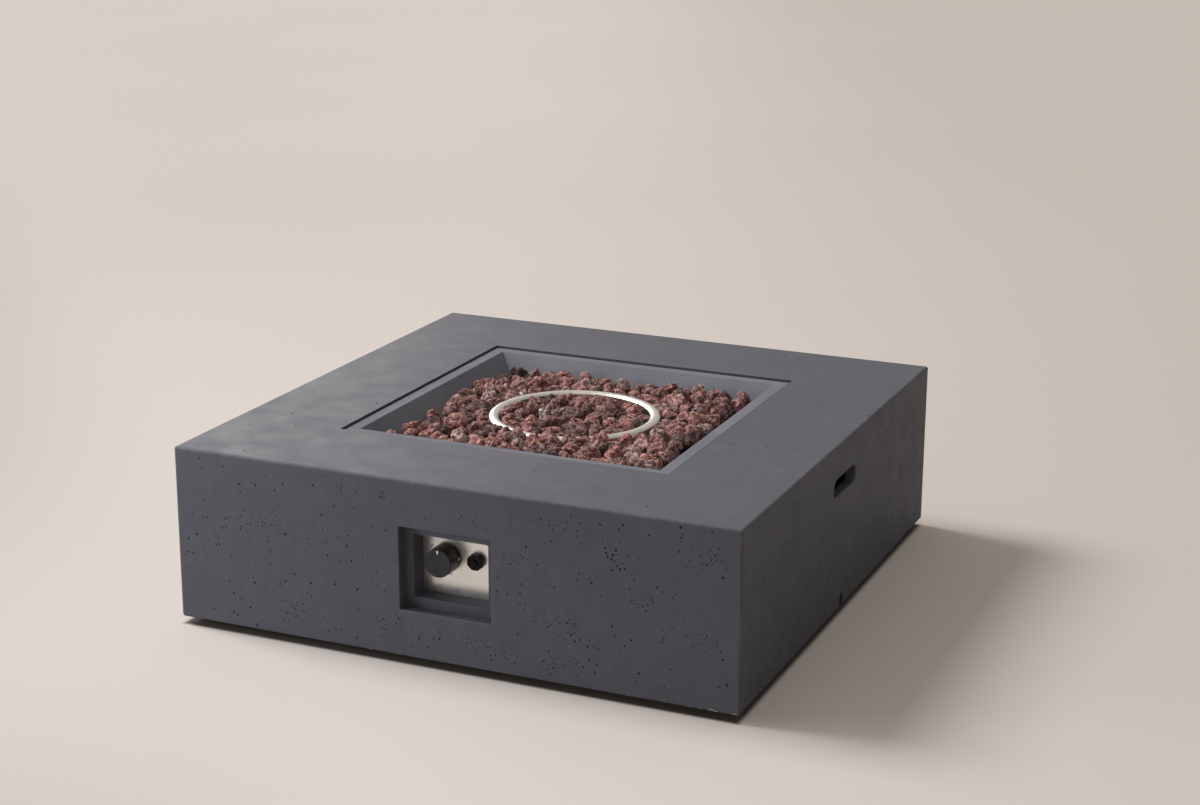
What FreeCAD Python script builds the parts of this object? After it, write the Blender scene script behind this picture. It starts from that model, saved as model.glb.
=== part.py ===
import FreeCAD, Part
import math
import os
import random

from FreeCAD import Placement, Rotation, Vector

# Square gas fire pit: a moulded fibre-concrete table with a burner pan dropped into its top.
# Millimetres. The origin is on the ground under the table's centre: +X to the right of a
# person who faces the controls, +Y from the controls to the back, +Z up.

# ---- Table shell -----------------------------------------------------------------------------
table_side = 900.0
shell_height = 270.0
wall = 16.0
top_slab = 18.0
edge_round = 4.0  # every outer edge of the casting
inner_corner_round = 14.0
rim_width = 180.0  # flat top between the outer faces and the opening
ledge_reach = 18.0  # how far the pan's seat stands into the opening
rib_width = 30.0  # thickened rim under the opening
rib_depth = 14.0
corner_block_side = 78.0  # solid corners that take the foot screws
corner_block_height = 40.0

# ---- Carrying slots and hose notch, in the side walls ----------------------------------------
slot_length = 107.0
slot_height = 28.0
slot_below_top = 68.0  # from the table top to the slot's middle
slot_rim_round = 3.0
notch_width = 18.0
notch_height = 21.0

# ---- Control recess, in the front wall -------------------------------------------------------
mouth_width = 147.0
mouth_height = 127.0
mouth_above_bottom = 135.5  # from the shell's lower edge to the recess's middle
mouth_depth = 20.0
mouth_corner_round = 2.5
mouth_rim_round = 1.5
aperture_width = 120.0
aperture_height = 96.0
aperture_depth = 30.0
surround = 15.0  # casting left around the mouth, behind the wall

# ---- Feet ------------------------------------------------------------------------------------
foot_height = 12.0
foot_diameter = 46.0
foot_taper = 2.0
foot_round = 1.5
foot_inset = 47.0  # from the outer faces to the middle of a foot
foot_sink_radius = 7.5
foot_sink_depth = 6.0
foot_screw_radius = 2.5
foot_screw_length = 30.0
foot_screw_head = 6.0
foot_screw_head_height = 3.0
screw_hole_spare = 4.0  # depth of a blind hole past the end of its screw

# ---- Burner pan ------------------------------------------------------------------------------
pan_gap = 4.0  # between flange and opening, each side
pan_drop = 3.0  # flange below the table top
pan_sheet = 1.5
flange_width = 18.0
pan_depth = 62.0
pan_slope_run = 62.0  # how far each wall leans in over the depth
pan_fold_radius = 2.5
drain_radius = 4.0
drain_reach = 130.0
probe_hole_room = 1.0  # around each probe where it passes the pan floor

# ---- Burner ----------------------------------------------------------------------------------
ring_diameter = 272.0
ring_width = 15.5
ring_height = 14.0
ring_below_top = 15.0  # from the table top to the ring's crown
ring_sheet = 1.0
ring_lip = 0.8  # the upper half overlaps the lower one by a rolled lip
ring_lip_height = 2.0
ring_crown = 4.0  # rise of the domed top above the sides
port_count = 18
port_radius = 1.25
port_rise = 4.0
cross_tube_radius = 8.0
cross_tube_wall = 1.0
cross_tube_in_ring = 2.0  # the ring is notched over the tube by this much
cross_tube_end_inset = 2.0
feed_hole_radius = 3.0
hub_radius = 14.0
hub_below_tube = 17.0
hub_bore_radius = 6.0
nipple_in_hub = 8.0
pipe_thread_radius = 10.5  # half-inch pipe thread
nipple_bore_radius = 7.5
nipple_length = 44.0
nut_across_flats = 32.0
nut_thickness = 6.0
elbow_radius = 14.0
elbow_drop = 37.0  # from the pan's underside to the elbow's outlet axis
elbow_reach = 28.0
elbow_below_nut = 3.0

# ---- Air mixer and gas jet -------------------------------------------------------------------
mixer_length = 108.0
mixer_in_elbow = 10.0
mixer_throat_radius = 8.0
mixer_bell_radius = 13.0
mixer_bore_radius = 10.5
mixer_throat_wall = 2.0
mixer_taper_share = 0.6  # how far along the neck the throat starts to open
window_length = 16.0
window_width = 12.0
shutter_length = 26.0
shutter_sheet = 1.2
shutter_boss_radius = 3.5
shutter_boss_height = 3.0
collar_length = 4.0
collar_proud = 2.0
jet_across_flats = 8.0
jet_length = 12.0
jet_hex_length = 5.0
jet_thread_radius = 3.0
jet_thread_length = 5.0
jet_nose_radius = 3.5
jet_tip_radius = 2.0
jet_bore_radius = 0.8
holder_across_flats = 22.0
holder_length = 16.0
holder_flange = 3.0
holder_spigot = 8.0
holder_bore_radius = 2.0
shutter_screw_radius = 1.5
shutter_screw_head = 3.5
shutter_screw_head_height = 4.0

# ---- Gas supply ------------------------------------------------------------------------------
pipe_radius = 4.0
pipe_bore_radius = 3.0
pipe_nut_flats = 16.0
pipe_nut_length = 11.0
pipe_straight = 70.0
pipe_bend_radius = 40.0
pipe_seat_depth = 10.0
pipe_end_room = 0.5  # between the pipe end and the bottom of its seat
valve_x = -22.0
controls_above_bottom = 143.0
valve_radius = 14.0
valve_length = 47.0
valve_ear_span = 46.0
valve_ear_width = 22.0
valve_ear_thickness = 3.0
valve_ear_round = 3.0
valve_outlet_depth = 8.0
valve_screw_spacing = 34.0
valve_screw_radius = 2.0
valve_screw_head = 3.6
valve_screw_head_height = 1.6
valve_screw_hole_depth = 8.0
chamber_radius = 8.2
chamber_depth = 26.0
stem_guide_depth = 12.0
inlet_boss_radius = 10.0
inlet_boss_drop = 27.0
inlet_share = 0.55  # where along the valve the inlet stands
inlet_thread_radius = 6.0
inlet_thread_length = 8.5
inlet_seat_depth = 9.0
inlet_bore_radius = 3.0
inlet_bore_depth = 20.0
inlet_hex_flats = 19.0
inlet_hex_height = 8.0
flare_thread_radius = 7.9375  # five-eighths flare thread for the hose
flare_length = 14.0
flare_bore_radius = 4.0
flare_cone = 2.0
flare_chamfer = 1.5
flare_tip_radius = 5.0
sensor_boss_radius = 5.0
sensor_boss_reach = 7.0
lead_seat_depth = 6.0

# ---- Knob, stem and return spring ------------------------------------------------------------
knob_radius = 22.0
knob_length = 24.5
knob_stand_off = 5.0  # from the plate to the knob's skirt
knob_travel = 3.0
knob_taper = 0.6
knob_face = 4.0
knob_skirt_wall = 2.2
knob_boss_radius = 7.0
knob_boss_inset = 4.0  # the boss ends this far inside the skirt
stem_bore_end_wall = 1.0
knob_edge_round = 1.2
pointer_width = 2.0
pointer_length = 5.0
pointer_depth = 0.8
pointer_inset = 1.6
pointer_fit = 0.05
pointer_back_room = 0.02
stem_radius = 4.0
stem_flat = 1.2
stem_flat_inset = 2.0  # the flat ends this far inside the knob's skirt
stem_end_room = 0.5
stem_shoulder_radius = 6.0
stem_shoulder = 3.0
plunger_thickness = 3.0
shoulder_below_plate = 7.0
spring_wire_radius = 0.5
spring_turns = 3.5
running_fit = 0.06  # radial clearance of what turns or slides in a bore
static_fit = 0.1  # radial clearance of what only sits in a hole
piece_gap = 0.3  # between faces that stand free of each other

# ---- Control plate ---------------------------------------------------------------------------
plate_sheet = 1.5
plate_width = 160.0
plate_height = 128.0
plate_corner_round = 4.0
plate_screw_inset = 9.0
plate_screw_radius = 2.4
plate_screw_length = 16.0
plate_screw_head = 4.5
plate_screw_head_height = 2.2
stem_hole_radius = 7.5

# ---- Igniter ---------------------------------------------------------------------------------
igniter_x = 27.0
igniter_above_valve = 2.0
igniter_flange_radius = 12.4
igniter_flange = 1.5
igniter_barrel_radius = 10.0
igniter_barrel_length = 60.0
terminal_radius = 3.0
terminal_length = 6.0
terminal_seat = 5.0
spigot_radius = 8.6
battery_radius = 7.15
battery_length = 49.0
battery_nub_radius = 2.6
battery_nub = 1.0
battery_room = 0.35
cell_end_wall = 3.0
igniter_nut_flats = 27.0
igniter_nut_thickness = 5.0
cap_across_flats = 24.0
cap_chamfer = 1.5
cap_face_inset = 2.4  # from the corners to the edge of the flat front
cap_wall = 1.4
cap_length = 7.5
cap_pitch = 1.5
cap_turns = 3  # full turns that free the cap from its spigot
button_radius = 5.0
button_travel = 2.0
button_left_proud = 0.6  # still stands out by this much when pressed
button_chamfer = 1.0
button_rim_radius = 6.8
button_rim = 1.0
contact_wire_radius = 0.35
contact_turns = 4.0

# ---- Electrode and flame sensor --------------------------------------------------------------
electrode_x = -62.0
electrode_y = 8.0
electrode_radius = 4.0
electrode_top_below_ring = 3.0
electrode_tail = 10.0  # below the pan's underside
electrode_neck = 0.5
electrode_neck_length = 8.0
electrode_tip_chamfer = 1.5
spark_rod_radius = 1.0
spark_rod_length = 6.0
spark_rod_reach = 9.0  # the bent tip points at the sensor
spark_rod_seat = 0.2
sensor_spacing = 20.0
sensor_radius = 3.0
sensor_top_below_ring = 6.0
sensor_neck = 0.4
sensor_neck_length = 12.0
sensor_tip = 3.0
sensor_tip_chamfer = 1.6
sensor_socket = 6.0
lead_end_room = 0.5
bracket_sheet = 1.5
bracket_width = 20.0
bracket_shelf_length = 38.0
bracket_foot_length = 18.0
bracket_rise = 17.0
bracket_screw_radius = 2.0
bracket_screw_spacing = 20.0
small_head = 3.6
small_head_height = 1.8
small_screw_tail = 5.0  # past the last sheet
small_nut_flats = 7.0
small_nut_thickness = 3.2
lead_radius = 1.5
lead_slack_drop = 45.0  # how far the leads hang below the probes
lead_slack_reach = 90.0  # how far forward of the probes the slack runs
lead_slack_aside = 20.0
lead_slack_sag = 8.0
lead_rise_start = 70.0  # behind the heat shield, where a lead starts to rise to the controls
lead_rise = 22.0
lead_past_shield = 5.0
sensor_lead_radius = 1.25
sensor_lead_bend = 16.0
sensor_lead_aside = 40.0  # how far it swings out beside the valve
sensor_lead_swing = 32.0  # how far left of the probes its slack passes, clear of the ignition lead
sensor_lead_reach = 130.0  # how far forward of its probe the slack runs
ignition_lead_bend = 18.0

# ---- Heat shield -----------------------------------------------------------------------------
shield_sheet = 1.0
shield_width = 240.0
shield_below_controls = 41.0
shield_flange = 24.0
shield_from_front = 150.0
shield_hole_radius = 9.0
shield_screw_spacing = 90.0
shield_screw_radius = 2.0
shield_screw_length = 12.0

# ---- Lava rock -------------------------------------------------------------------------------
fill_clearance = 0.5
fill_below_ring = 6.0  # the lower fill stops this far below the ring
rock_rows = 17
rock_jitter = 1.0
rock_spacing = 0.6
rock_sides = 5
rock_foot_share = 0.82  # width at the foot, of the width at the waist
rock_waist = 0.38  # height of the waist and of the shoulder, of the stone's height
rock_shoulder = 0.8
rock_shoulder_share = 0.68
rock_roughness = 0.1
rock_unevenness = 0.15
rock_peak_shift = 1.0
rock_wall_room = 10.0  # from the fill's edge to the middle of the outermost stones
smallest_rock = 5.5
edge_rock_rise = 17.0
crown_rock_rise = 21.0
front_heap_rise = 2.5
rock_rise_spread = 2.5
heap_width = 60.0
rock_seed = 11

# ---- Levels and places worked out from the sizes above ---------------------------------------
half = table_side / 2
shell_bottom = foot_height
table_top = shell_bottom + shell_height
slab_under = table_top - top_slab
opening_side = table_side - 2 * rim_width
opening_half = opening_side / 2
foot_centre = half - foot_inset

flange_half = opening_half - pan_gap
pan_mouth_half = flange_half - flange_width
flange_top = table_top - pan_drop
ledge_top = flange_top - pan_sheet
pan_floor = flange_top - pan_depth
pan_under = pan_floor - pan_sheet

ring_top = table_top - ring_below_top
ring_bottom = ring_top - ring_height
ring_outer = ring_diameter / 2
ring_inner = ring_outer - ring_width
ring_middle = (ring_outer + ring_inner) / 2
cross_tube_z = ring_bottom + cross_tube_in_ring - cross_tube_radius
hub_bottom = cross_tube_z - hub_below_tube
nipple_top = hub_bottom + nipple_in_hub
mixer_z = pan_under - elbow_drop
mixer_start = -elbow_reach + mixer_in_elbow
mixer_end = mixer_start - mixer_length
fill_top = ring_bottom - fill_below_ring
fill_half = pan_mouth_half - (flange_top - fill_top) * pan_slope_run / pan_depth
rock_pitch = 2 * (fill_half - rock_wall_room) / (rock_rows - 1)

plate_front = -half + mouth_depth + aperture_depth
plate_back = plate_front + plate_sheet
recess_z = shell_bottom + mouth_above_bottom
valve_z = shell_bottom + controls_above_bottom
igniter_z = valve_z + igniter_above_valve
valve_back = plate_back + valve_length
shield_y = -half + shield_from_front
shield_height = slab_under - valve_z + shield_below_controls
spigot_length = cap_pitch * cap_turns
igniter_back = plate_back + igniter_barrel_length
electrode_bottom = pan_under - electrode_tail
sensor_y = electrode_y + sensor_spacing
shelf_z = pan_floor + bracket_rise

AWAY_X = Vector(1, 0, 0)
AWAY_Y = Vector(0, 1, 0)
FRONT = Vector(0, -1, 0)
UP = Vector(0, 0, 1)
DOWN = Vector(0, 0, -1)
TO_LEFT = Vector(-1, 0, 0)
SPRING_WIRE_SIDES = 6
CUT_PAST = 1.0  # how far a cutting shape runs past what it cuts
NEAR = 0.01
nut_chamfer_share = 0.6
head_crown_share = 0.7  # of a pan head's radius
driver_slot_width = 1.0
driver_slot_share = 0.45  # of a pan head's height


def block(x0, x1, y0, y1, z0, z1):
    return Part.makeBox(x1 - x0, y1 - y0, z1 - z0, Vector(x0, y0, z0))


def centred_block(side, z0, z1):
    return block(-side / 2, side / 2, -side / 2, side / 2, z0, z1)


def rod(start, axis, radius, length):
    return Part.makeCylinder(radius, length, start, axis)


def turned(start, axis, outline):
    """A turned piece: outline is a list of (distance along the axis, radius) corners."""
    corners = [Vector(radius, 0, along) for along, radius in outline]
    face = Part.Face(Part.makePolygon(corners + corners[:1]))
    solid = face.revolve(Vector(0, 0, 0), UP, 360)
    solid.Placement = Placement(start, Rotation(UP, axis))
    return solid


def prism(start, axis, sides, across_flats, length, turn=0.0):
    """A straight bar with regular flats, such as a hexagon."""
    corner_radius = across_flats / 2 / math.cos(math.pi / sides)
    corners = []
    for i in range(sides):
        angle = 2 * math.pi * (i + 0.5) / sides + math.radians(turn)
        corners.append(Vector(corner_radius * math.cos(angle), corner_radius * math.sin(angle), 0))
    bar = Part.Face(Part.makePolygon(corners + corners[:1])).extrude(Vector(0, 0, length))
    bar.Placement = Placement(start, Rotation(UP, axis))
    return bar


def nut(start, axis, across_flats, length, hole_radius):
    """A hexagon nut whose corners are turned off at both ends."""
    corner = across_flats / math.sqrt(3)
    flat = across_flats / 2
    step = (corner - flat) * nut_chamfer_share
    bar = prism(start, axis, 6, across_flats, length)
    ends = [(0, 0), (0, flat), (step, corner), (length - step, corner), (length, flat), (length, 0)]
    return bar.common(turned(start, axis, ends)).cut(rod(start, axis, hole_radius, length))


def pan_head_screw(start, axis, shank_radius, shank_length, head_radius, head_height):
    """A screw whose head starts at start, with its shank along axis past the head."""
    top = head_radius * head_crown_share
    outline = [(0, 0), (0, top), (head_height / 2, head_radius), (head_height, head_radius)]
    outline += [(head_height, shank_radius), (head_height + shank_length, shank_radius)]
    outline += [(head_height + shank_length, 0)]
    slot_reach = driver_slot_width / 2
    slot = block(-head_radius, head_radius, -slot_reach, slot_reach, 0, head_height * driver_slot_share)
    slot.Placement = Placement(start, Rotation(UP, axis))
    return turned(start, axis, outline).cut(slot)


def runs_along_y(edge):
    return abs(edge.tangentAt(edge.FirstParameter).y) > 0.9


def runs_along_z(edge):
    return abs(edge.tangentAt(edge.FirstParameter).z) > 0.9


def rounded(shape, radius, chosen):
    return shape.makeFillet(radius, [edge for edge in shape.Edges if chosen(edge)])


def route(points, bend_radius):
    """A path of straight runs joined by tangent arcs through the given corners."""
    edges = []
    last = points[0]
    for before, corner, after in zip(points, points[1:], points[2:]):
        way_in = (corner - before).normalize()
        way_out = (after - corner).normalize()
        turn = way_in.getAngle(way_out)
        reach = bend_radius * math.tan(turn / 2)
        first = corner - way_in * reach
        end = corner + way_out * reach
        to_centre = (way_out - way_in).normalize()
        centre = corner + to_centre * (bend_radius / math.cos(turn / 2))
        middle = centre - to_centre * bend_radius
        edges.append(Part.LineSegment(last, first).toShape())
        edges.append(Part.Arc(first, middle, end).toShape())
        last = end
    edges.append(Part.LineSegment(last, points[-1]).toShape())
    return Part.Wire(edges)


def swept(path, start, axis, radius):
    ring = Part.Wire([Part.makeCircle(radius, start, axis)])
    return path.makePipeShell([ring], True, True)


def coil(start, axis, coil_radius, wire_radius, length, turns):
    """A compression spring: its wire's middle runs from end to end within the length."""
    pitch = (length - 2 * wire_radius) / turns
    path = Part.Wire(Part.makeHelix(pitch, length - 2 * wire_radius, coil_radius).Edges)
    corners = []
    for i in range(SPRING_WIRE_SIDES):
        angle = 2 * math.pi * i / SPRING_WIRE_SIDES
        reach = wire_radius * math.cos(angle)
        corners.append(Vector(coil_radius + reach, 0, wire_radius * math.sin(angle)))
    section = Part.makePolygon(corners + corners[:1])
    spring = path.makePipeShell([section], True, True)
    spring.translate(Vector(0, 0, wire_radius))
    spring.Placement = Placement(start, Rotation(UP, axis)).multiply(spring.Placement)
    return spring


def save(name, *solids):
    shape = solids[0] if len(solids) == 1 else Part.makeCompound(list(solids))
    shape.exportStep("parts/" + name + ".step")


# ---- Table shell -----------------------------------------------------------------------------


def corners_of(reach):
    return [(sx * reach, sy * reach) for sy in (-1, 1) for sx in (-1, 1)]


def hollow_under_top():
    """The space inside the casting: four walls, solid corners and the rib round the opening."""
    inner = half - wall
    space = block(-inner, inner, -inner, inner, shell_bottom - CUT_PAST, slab_under)
    space = rounded(space, inner_corner_round, runs_along_z)
    block_side = corner_block_side + CUT_PAST
    for x, y in corners_of(inner + CUT_PAST - block_side / 2):
        corner = centred_block(block_side, shell_bottom - CUT_PAST, shell_bottom + corner_block_height)
        corner.translate(Vector(x, y, 0))
        space = space.cut(corner)
    rib_inner = 2 * (opening_half - ledge_reach)
    rib = centred_block(rib_inner + 2 * rib_width, slab_under - rib_depth, slab_under)
    rib = rib.cut(centred_block(rib_inner, slab_under - rib_depth, slab_under))
    surround_block = block(
        -mouth_width / 2 - surround,
        mouth_width / 2 + surround,
        -half,
        plate_front,
        recess_z - mouth_height / 2 - surround,
        recess_z + mouth_height / 2 + surround,
    )
    return space.cut(rib).cut(surround_block)


def stadium_hole(length, height, z, x0, x1):
    """A slot with round ends, long in Y, cut along X."""
    radius = height / 2
    flat = length / 2 - radius
    hole = block(x0, x1, -flat, flat, z - radius, z + radius)
    for y in (-flat, flat):
        hole = hole.fuse(rod(Vector(x0, y, z), AWAY_X, radius, x1 - x0))
    return hole.removeSplitter()


def control_recess():
    """The stepped pocket for the controls: a wide mouth, a ledge and a narrower aperture."""
    mouth = block(
        -mouth_width / 2,
        mouth_width / 2,
        -half - CUT_PAST,
        -half + mouth_depth,
        recess_z - mouth_height / 2,
        recess_z + mouth_height / 2,
    )
    aperture = block(
        -aperture_width / 2,
        aperture_width / 2,
        -half,
        plate_front + CUT_PAST,
        recess_z - aperture_height / 2,
        recess_z + aperture_height / 2,
    )
    mouth = rounded(mouth, mouth_corner_round, runs_along_y)
    return mouth.fuse(rounded(aperture, mouth_corner_round, runs_along_y))


def table_shell():
    outer = block(-half, half, -half, half, shell_bottom, table_top)
    outer = outer.makeFillet(edge_round, outer.Edges)
    shell = outer.cut(hollow_under_top())
    shell = shell.cut(centred_block(opening_side, ledge_top, table_top))
    shell = shell.cut(centred_block(2 * (opening_half - ledge_reach), shell_bottom, table_top))
    shell = shell.cut(control_recess())
    slot_z = table_top - slot_below_top
    for x0, x1 in ((-half, -half + wall), (half - wall, half)):
        shell = shell.cut(stadium_hole(slot_length, slot_height, slot_z, x0, x1))
    notch_radius = notch_width / 2
    notch_spring = shell_bottom + notch_height - notch_radius
    notch = block(half - wall, half, -notch_radius, notch_radius, shell_bottom, notch_spring)
    arch = Vector(half - wall, 0, notch_spring)
    shell = shell.cut(notch.fuse(rod(arch, AWAY_X, notch_radius, wall)))
    for x, y in corners_of(foot_centre):
        hole_depth = foot_screw_length - foot_height + foot_sink_depth + screw_hole_spare
        hole = rod(Vector(x, y, shell_bottom), UP, foot_screw_radius + static_fit, hole_depth)
        shell = shell.cut(hole)
    for x, z in plate_screw_places():
        hole = rod(Vector(x, plate_front, z), FRONT, plate_screw_radius + static_fit, plate_screw_length)
        shell = shell.cut(hole)
    for x in shield_screw_places():
        start = Vector(x, shield_y - shield_flange / 2, slab_under)
        shell = shell.cut(rod(start, UP, shield_screw_radius + static_fit, shield_screw_length))
    shell = rounded(shell, slot_rim_round, is_slot_rim)
    return rounded(shell, mouth_rim_round, is_mouth_rim)


def is_slot_rim(edge):
    """True for the edges round a carrying slot on the casting's outer faces."""
    box = edge.BoundBox
    on_face = box.XLength < NEAR and abs(abs(box.XMin) - half) < NEAR
    slot_z = table_top - slot_below_top
    return on_face and abs(box.Center.z - slot_z) < slot_height and abs(box.Center.y) < slot_length


def is_mouth_rim(edge):
    """True for the edges round the control recess on the front face."""
    box = edge.BoundBox
    on_face = box.YLength < NEAR and abs(box.YMin + half) < NEAR
    return on_face and abs(box.Center.x) < mouth_width and abs(box.Center.z - recess_z) < mouth_height * 0.6


# ---- Feet ------------------------------------------------------------------------------------


def foot(x, y):
    bottom = foot_diameter / 2 - foot_taper
    outline = [(0, foot_sink_radius), (0, bottom - foot_round), (foot_round, bottom)]
    outline += [(foot_height, foot_diameter / 2), (foot_height, foot_screw_radius + static_fit)]
    outline += [(foot_sink_depth, foot_screw_radius + static_fit), (foot_sink_depth, foot_sink_radius)]
    return turned(Vector(x, y, 0), UP, outline)


def foot_screw(x, y):
    start = Vector(x, y, foot_sink_depth - foot_screw_head_height)
    head = (foot_screw_head, foot_screw_head_height)
    return pan_head_screw(start, UP, foot_screw_radius, foot_screw_length, *head)


# ---- Burner pan ------------------------------------------------------------------------------


def square_wire(half_side, z):
    corners = [Vector(x, y, z) for x, y in ((-1, -1), (1, -1), (1, 1), (-1, 1))]
    corners = [Vector(c.x * half_side, c.y * half_side, z) for c in corners]
    return Part.makePolygon(corners + corners[:1])


def pan_space(inset, z0, z1):
    """The tapered space inside the pan between two levels, drawn in by inset from its walls."""
    lean = pan_slope_run / pan_depth
    low = pan_mouth_half - (flange_top - z0) * lean - inset
    high = pan_mouth_half - (flange_top - z1) * lean - inset
    return Part.makeLoft([square_wire(low, z0), square_wire(high, z1)], True, True)


def burner_pan():
    lean = pan_slope_run / pan_depth
    skin = pan_sheet * math.hypot(1, lean)
    tray = pan_space(-skin, pan_under, flange_top)
    flange = centred_block(2 * flange_half, ledge_top, flange_top)
    pan = tray.fuse(flange).cut(pan_space(0, pan_floor, flange_top)).removeSplitter()

    def is_mouth_fold(edge):
        box = edge.BoundBox
        level = box.ZLength < NEAR and abs(box.ZMin - flange_top) < NEAR
        return level and max(box.XMax, box.YMax) < pan_mouth_half + NEAR

    pan = rounded(pan, pan_fold_radius, is_mouth_fold)
    holes = [(0, 0, pipe_thread_radius + static_fit)]
    holes.append((electrode_x, electrode_y, electrode_radius + probe_hole_room))
    holes.append((electrode_x, sensor_y, sensor_radius + probe_hole_room))
    holes += [(x, y, bracket_screw_radius + static_fit) for x, y in bracket_screw_places()]
    holes += [(x, y, drain_radius) for x, y in corners_of(drain_reach)]
    for x, y, radius in holes:
        pan = pan.cut(rod(Vector(x, y, pan_under), UP, radius, pan_sheet))
    return pan


# ---- Burner ----------------------------------------------------------------------------------


def ring_section(offset):
    """Outline of the ring's tube, as (radius, height) points with a domed crown."""
    inner = ring_inner + ring_lip + offset
    outer = ring_outer - ring_lip - offset
    low = ring_bottom + offset
    shoulder = ring_top - ring_crown
    under_lip = shoulder - ring_lip_height
    if offset:
        outline = [Vector(inner, 0, low), Vector(outer, 0, low), Vector(outer, 0, shoulder)]
        inner_shoulder = Vector(inner, 0, shoulder)
    else:
        outline = [Vector(inner, 0, low), Vector(outer, 0, low), Vector(outer, 0, under_lip)]
        outline += [Vector(ring_outer, 0, under_lip), Vector(ring_outer, 0, shoulder)]
        inner_shoulder = Vector(ring_inner, 0, shoulder)
    sides = [Part.LineSegment(a, b).toShape() for a, b in zip(outline, outline[1:])]
    crown = Vector(ring_middle, 0, ring_top - offset)
    sides.append(Part.Arc(outline[-1], crown, inner_shoulder).toShape())
    if offset:
        sides.append(Part.LineSegment(inner_shoulder, outline[0]).toShape())
    else:
        lip = [inner_shoulder, Vector(ring_inner, 0, under_lip), Vector(inner, 0, under_lip), outline[0]]
        sides += [Part.LineSegment(a, b).toShape() for a, b in zip(lip, lip[1:])]
    return Part.Face(Part.Wire(sides))


def ring_solid(offset):
    return ring_section(offset).revolve(Vector(0, 0, 0), UP, 360)


def burner_ring():
    ring = ring_solid(0).cut(ring_solid(ring_sheet))
    for i in range(port_count):
        angle = 2 * math.pi * (i + 0.5) / port_count
        way = Vector(math.cos(angle), math.sin(angle), 0)
        start = way * (ring_inner - CUT_PAST) + Vector(0, 0, ring_bottom + port_rise)
        ring = ring.cut(rod(start, way, port_radius, ring_width / 2))
    for y in (-ring_middle, ring_middle):
        feed = rod(Vector(0, y, ring_bottom - CUT_PAST), UP, feed_hole_radius, ring_sheet + 2 * CUT_PAST)
        ring = ring.cut(feed)
    return ring


def burner_cross_tube():
    """The feed tube under the ring, closed at both ends, with the hub welded below it."""
    start = Vector(0, cross_tube_end_inset - ring_outer, cross_tube_z)
    length = 2 * (ring_outer - cross_tube_end_inset)
    inside = Vector(0, start.y + cross_tube_wall, cross_tube_z)
    hub = rod(Vector(0, 0, hub_bottom), UP, hub_radius, hub_below_tube)
    tube = rod(start, AWAY_Y, cross_tube_radius, length).fuse(hub)
    passage = rod(inside, AWAY_Y, cross_tube_radius - cross_tube_wall, length - 2 * cross_tube_wall)
    socket = rod(Vector(0, 0, hub_bottom), UP, pipe_thread_radius + static_fit, nipple_top - hub_bottom)
    bore = rod(Vector(0, 0, hub_bottom), UP, hub_bore_radius, hub_below_tube)
    tube = tube.cut(passage).cut(socket).cut(bore).cut(ring_solid(0))
    for y in (-ring_middle, ring_middle):
        tube = tube.cut(rod(Vector(0, y, cross_tube_z), UP, feed_hole_radius, cross_tube_radius))
    return tube


def inlet_nipple():
    length = nipple_top - (pan_under - nipple_length / 2)
    start = Vector(0, 0, nipple_top - length)
    outer = rod(start, UP, pipe_thread_radius, length)
    return outer.cut(rod(start, UP, nipple_bore_radius, length))


def burner_lock_nuts():
    hole = pipe_thread_radius + static_fit
    upper_thickness = hub_bottom - pan_floor - piece_gap
    upper = nut(Vector(0, 0, pan_floor), UP, nut_across_flats, upper_thickness, hole)
    lower = nut(Vector(0, 0, pan_under - nut_thickness), UP, nut_across_flats, nut_thickness, hole)
    return upper, lower


def burner_elbow():
    top = pan_under - nut_thickness - elbow_below_nut
    bend = Vector(0, 0, mixer_z)
    body = rod(bend, UP, elbow_radius, top - mixer_z)
    body = body.fuse(rod(bend, FRONT, elbow_radius, elbow_reach)).fuse(Part.makeSphere(elbow_radius, bend))
    nipple_end = pan_under - nipple_length / 2
    body = body.cut(rod(bend, UP, nipple_bore_radius, top - mixer_z))
    body = body.cut(rod(bend, FRONT, nipple_bore_radius, elbow_reach))
    body = body.cut(Part.makeSphere(nipple_bore_radius, bend))
    socket = rod(Vector(0, 0, nipple_end), UP, pipe_thread_radius + static_fit, top - nipple_end)
    side = rod(Vector(0, mixer_start, mixer_z), FRONT, pipe_thread_radius + static_fit, mixer_in_elbow)
    return body.cut(socket).cut(side)


# ---- Air mixer, shutter and jet --------------------------------------------------------------


def shutter_start():
    """Distance along the mixer from its elbow end to the shutter."""
    return mixer_length - collar_length - shutter_length


def air_windows(first, length, reach):
    """Two opposite openings, above and below the mixer's axis."""
    y1 = mixer_start - first
    width = window_width / 2
    return block(-width, width, y1 - length, y1, mixer_z - reach, mixer_z + reach)


def mixer_tube():
    start = Vector(0, mixer_start, mixer_z)
    neck = shutter_start() - collar_length
    throat_end = neck * mixer_taper_share
    throat_outside = mixer_throat_radius + mixer_throat_wall
    collar_radius = mixer_bell_radius + collar_proud
    outline = [(0, mixer_throat_radius), (0, pipe_thread_radius), (mixer_in_elbow, pipe_thread_radius)]
    outline += [(mixer_in_elbow, throat_outside), (throat_end, throat_outside), (neck, mixer_bell_radius)]
    outline += [(neck, collar_radius), (neck + collar_length, collar_radius)]
    outline += [(neck + collar_length, mixer_bell_radius), (mixer_length, mixer_bell_radius)]
    outline += [(mixer_length, mixer_bore_radius), (neck, mixer_bore_radius)]
    outline += [(throat_end, mixer_throat_radius)]
    tube = turned(start, FRONT, outline)
    first = shutter_start() + (shutter_length - window_length) / 2
    return tube.cut(air_windows(first, window_length, collar_radius))


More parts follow.
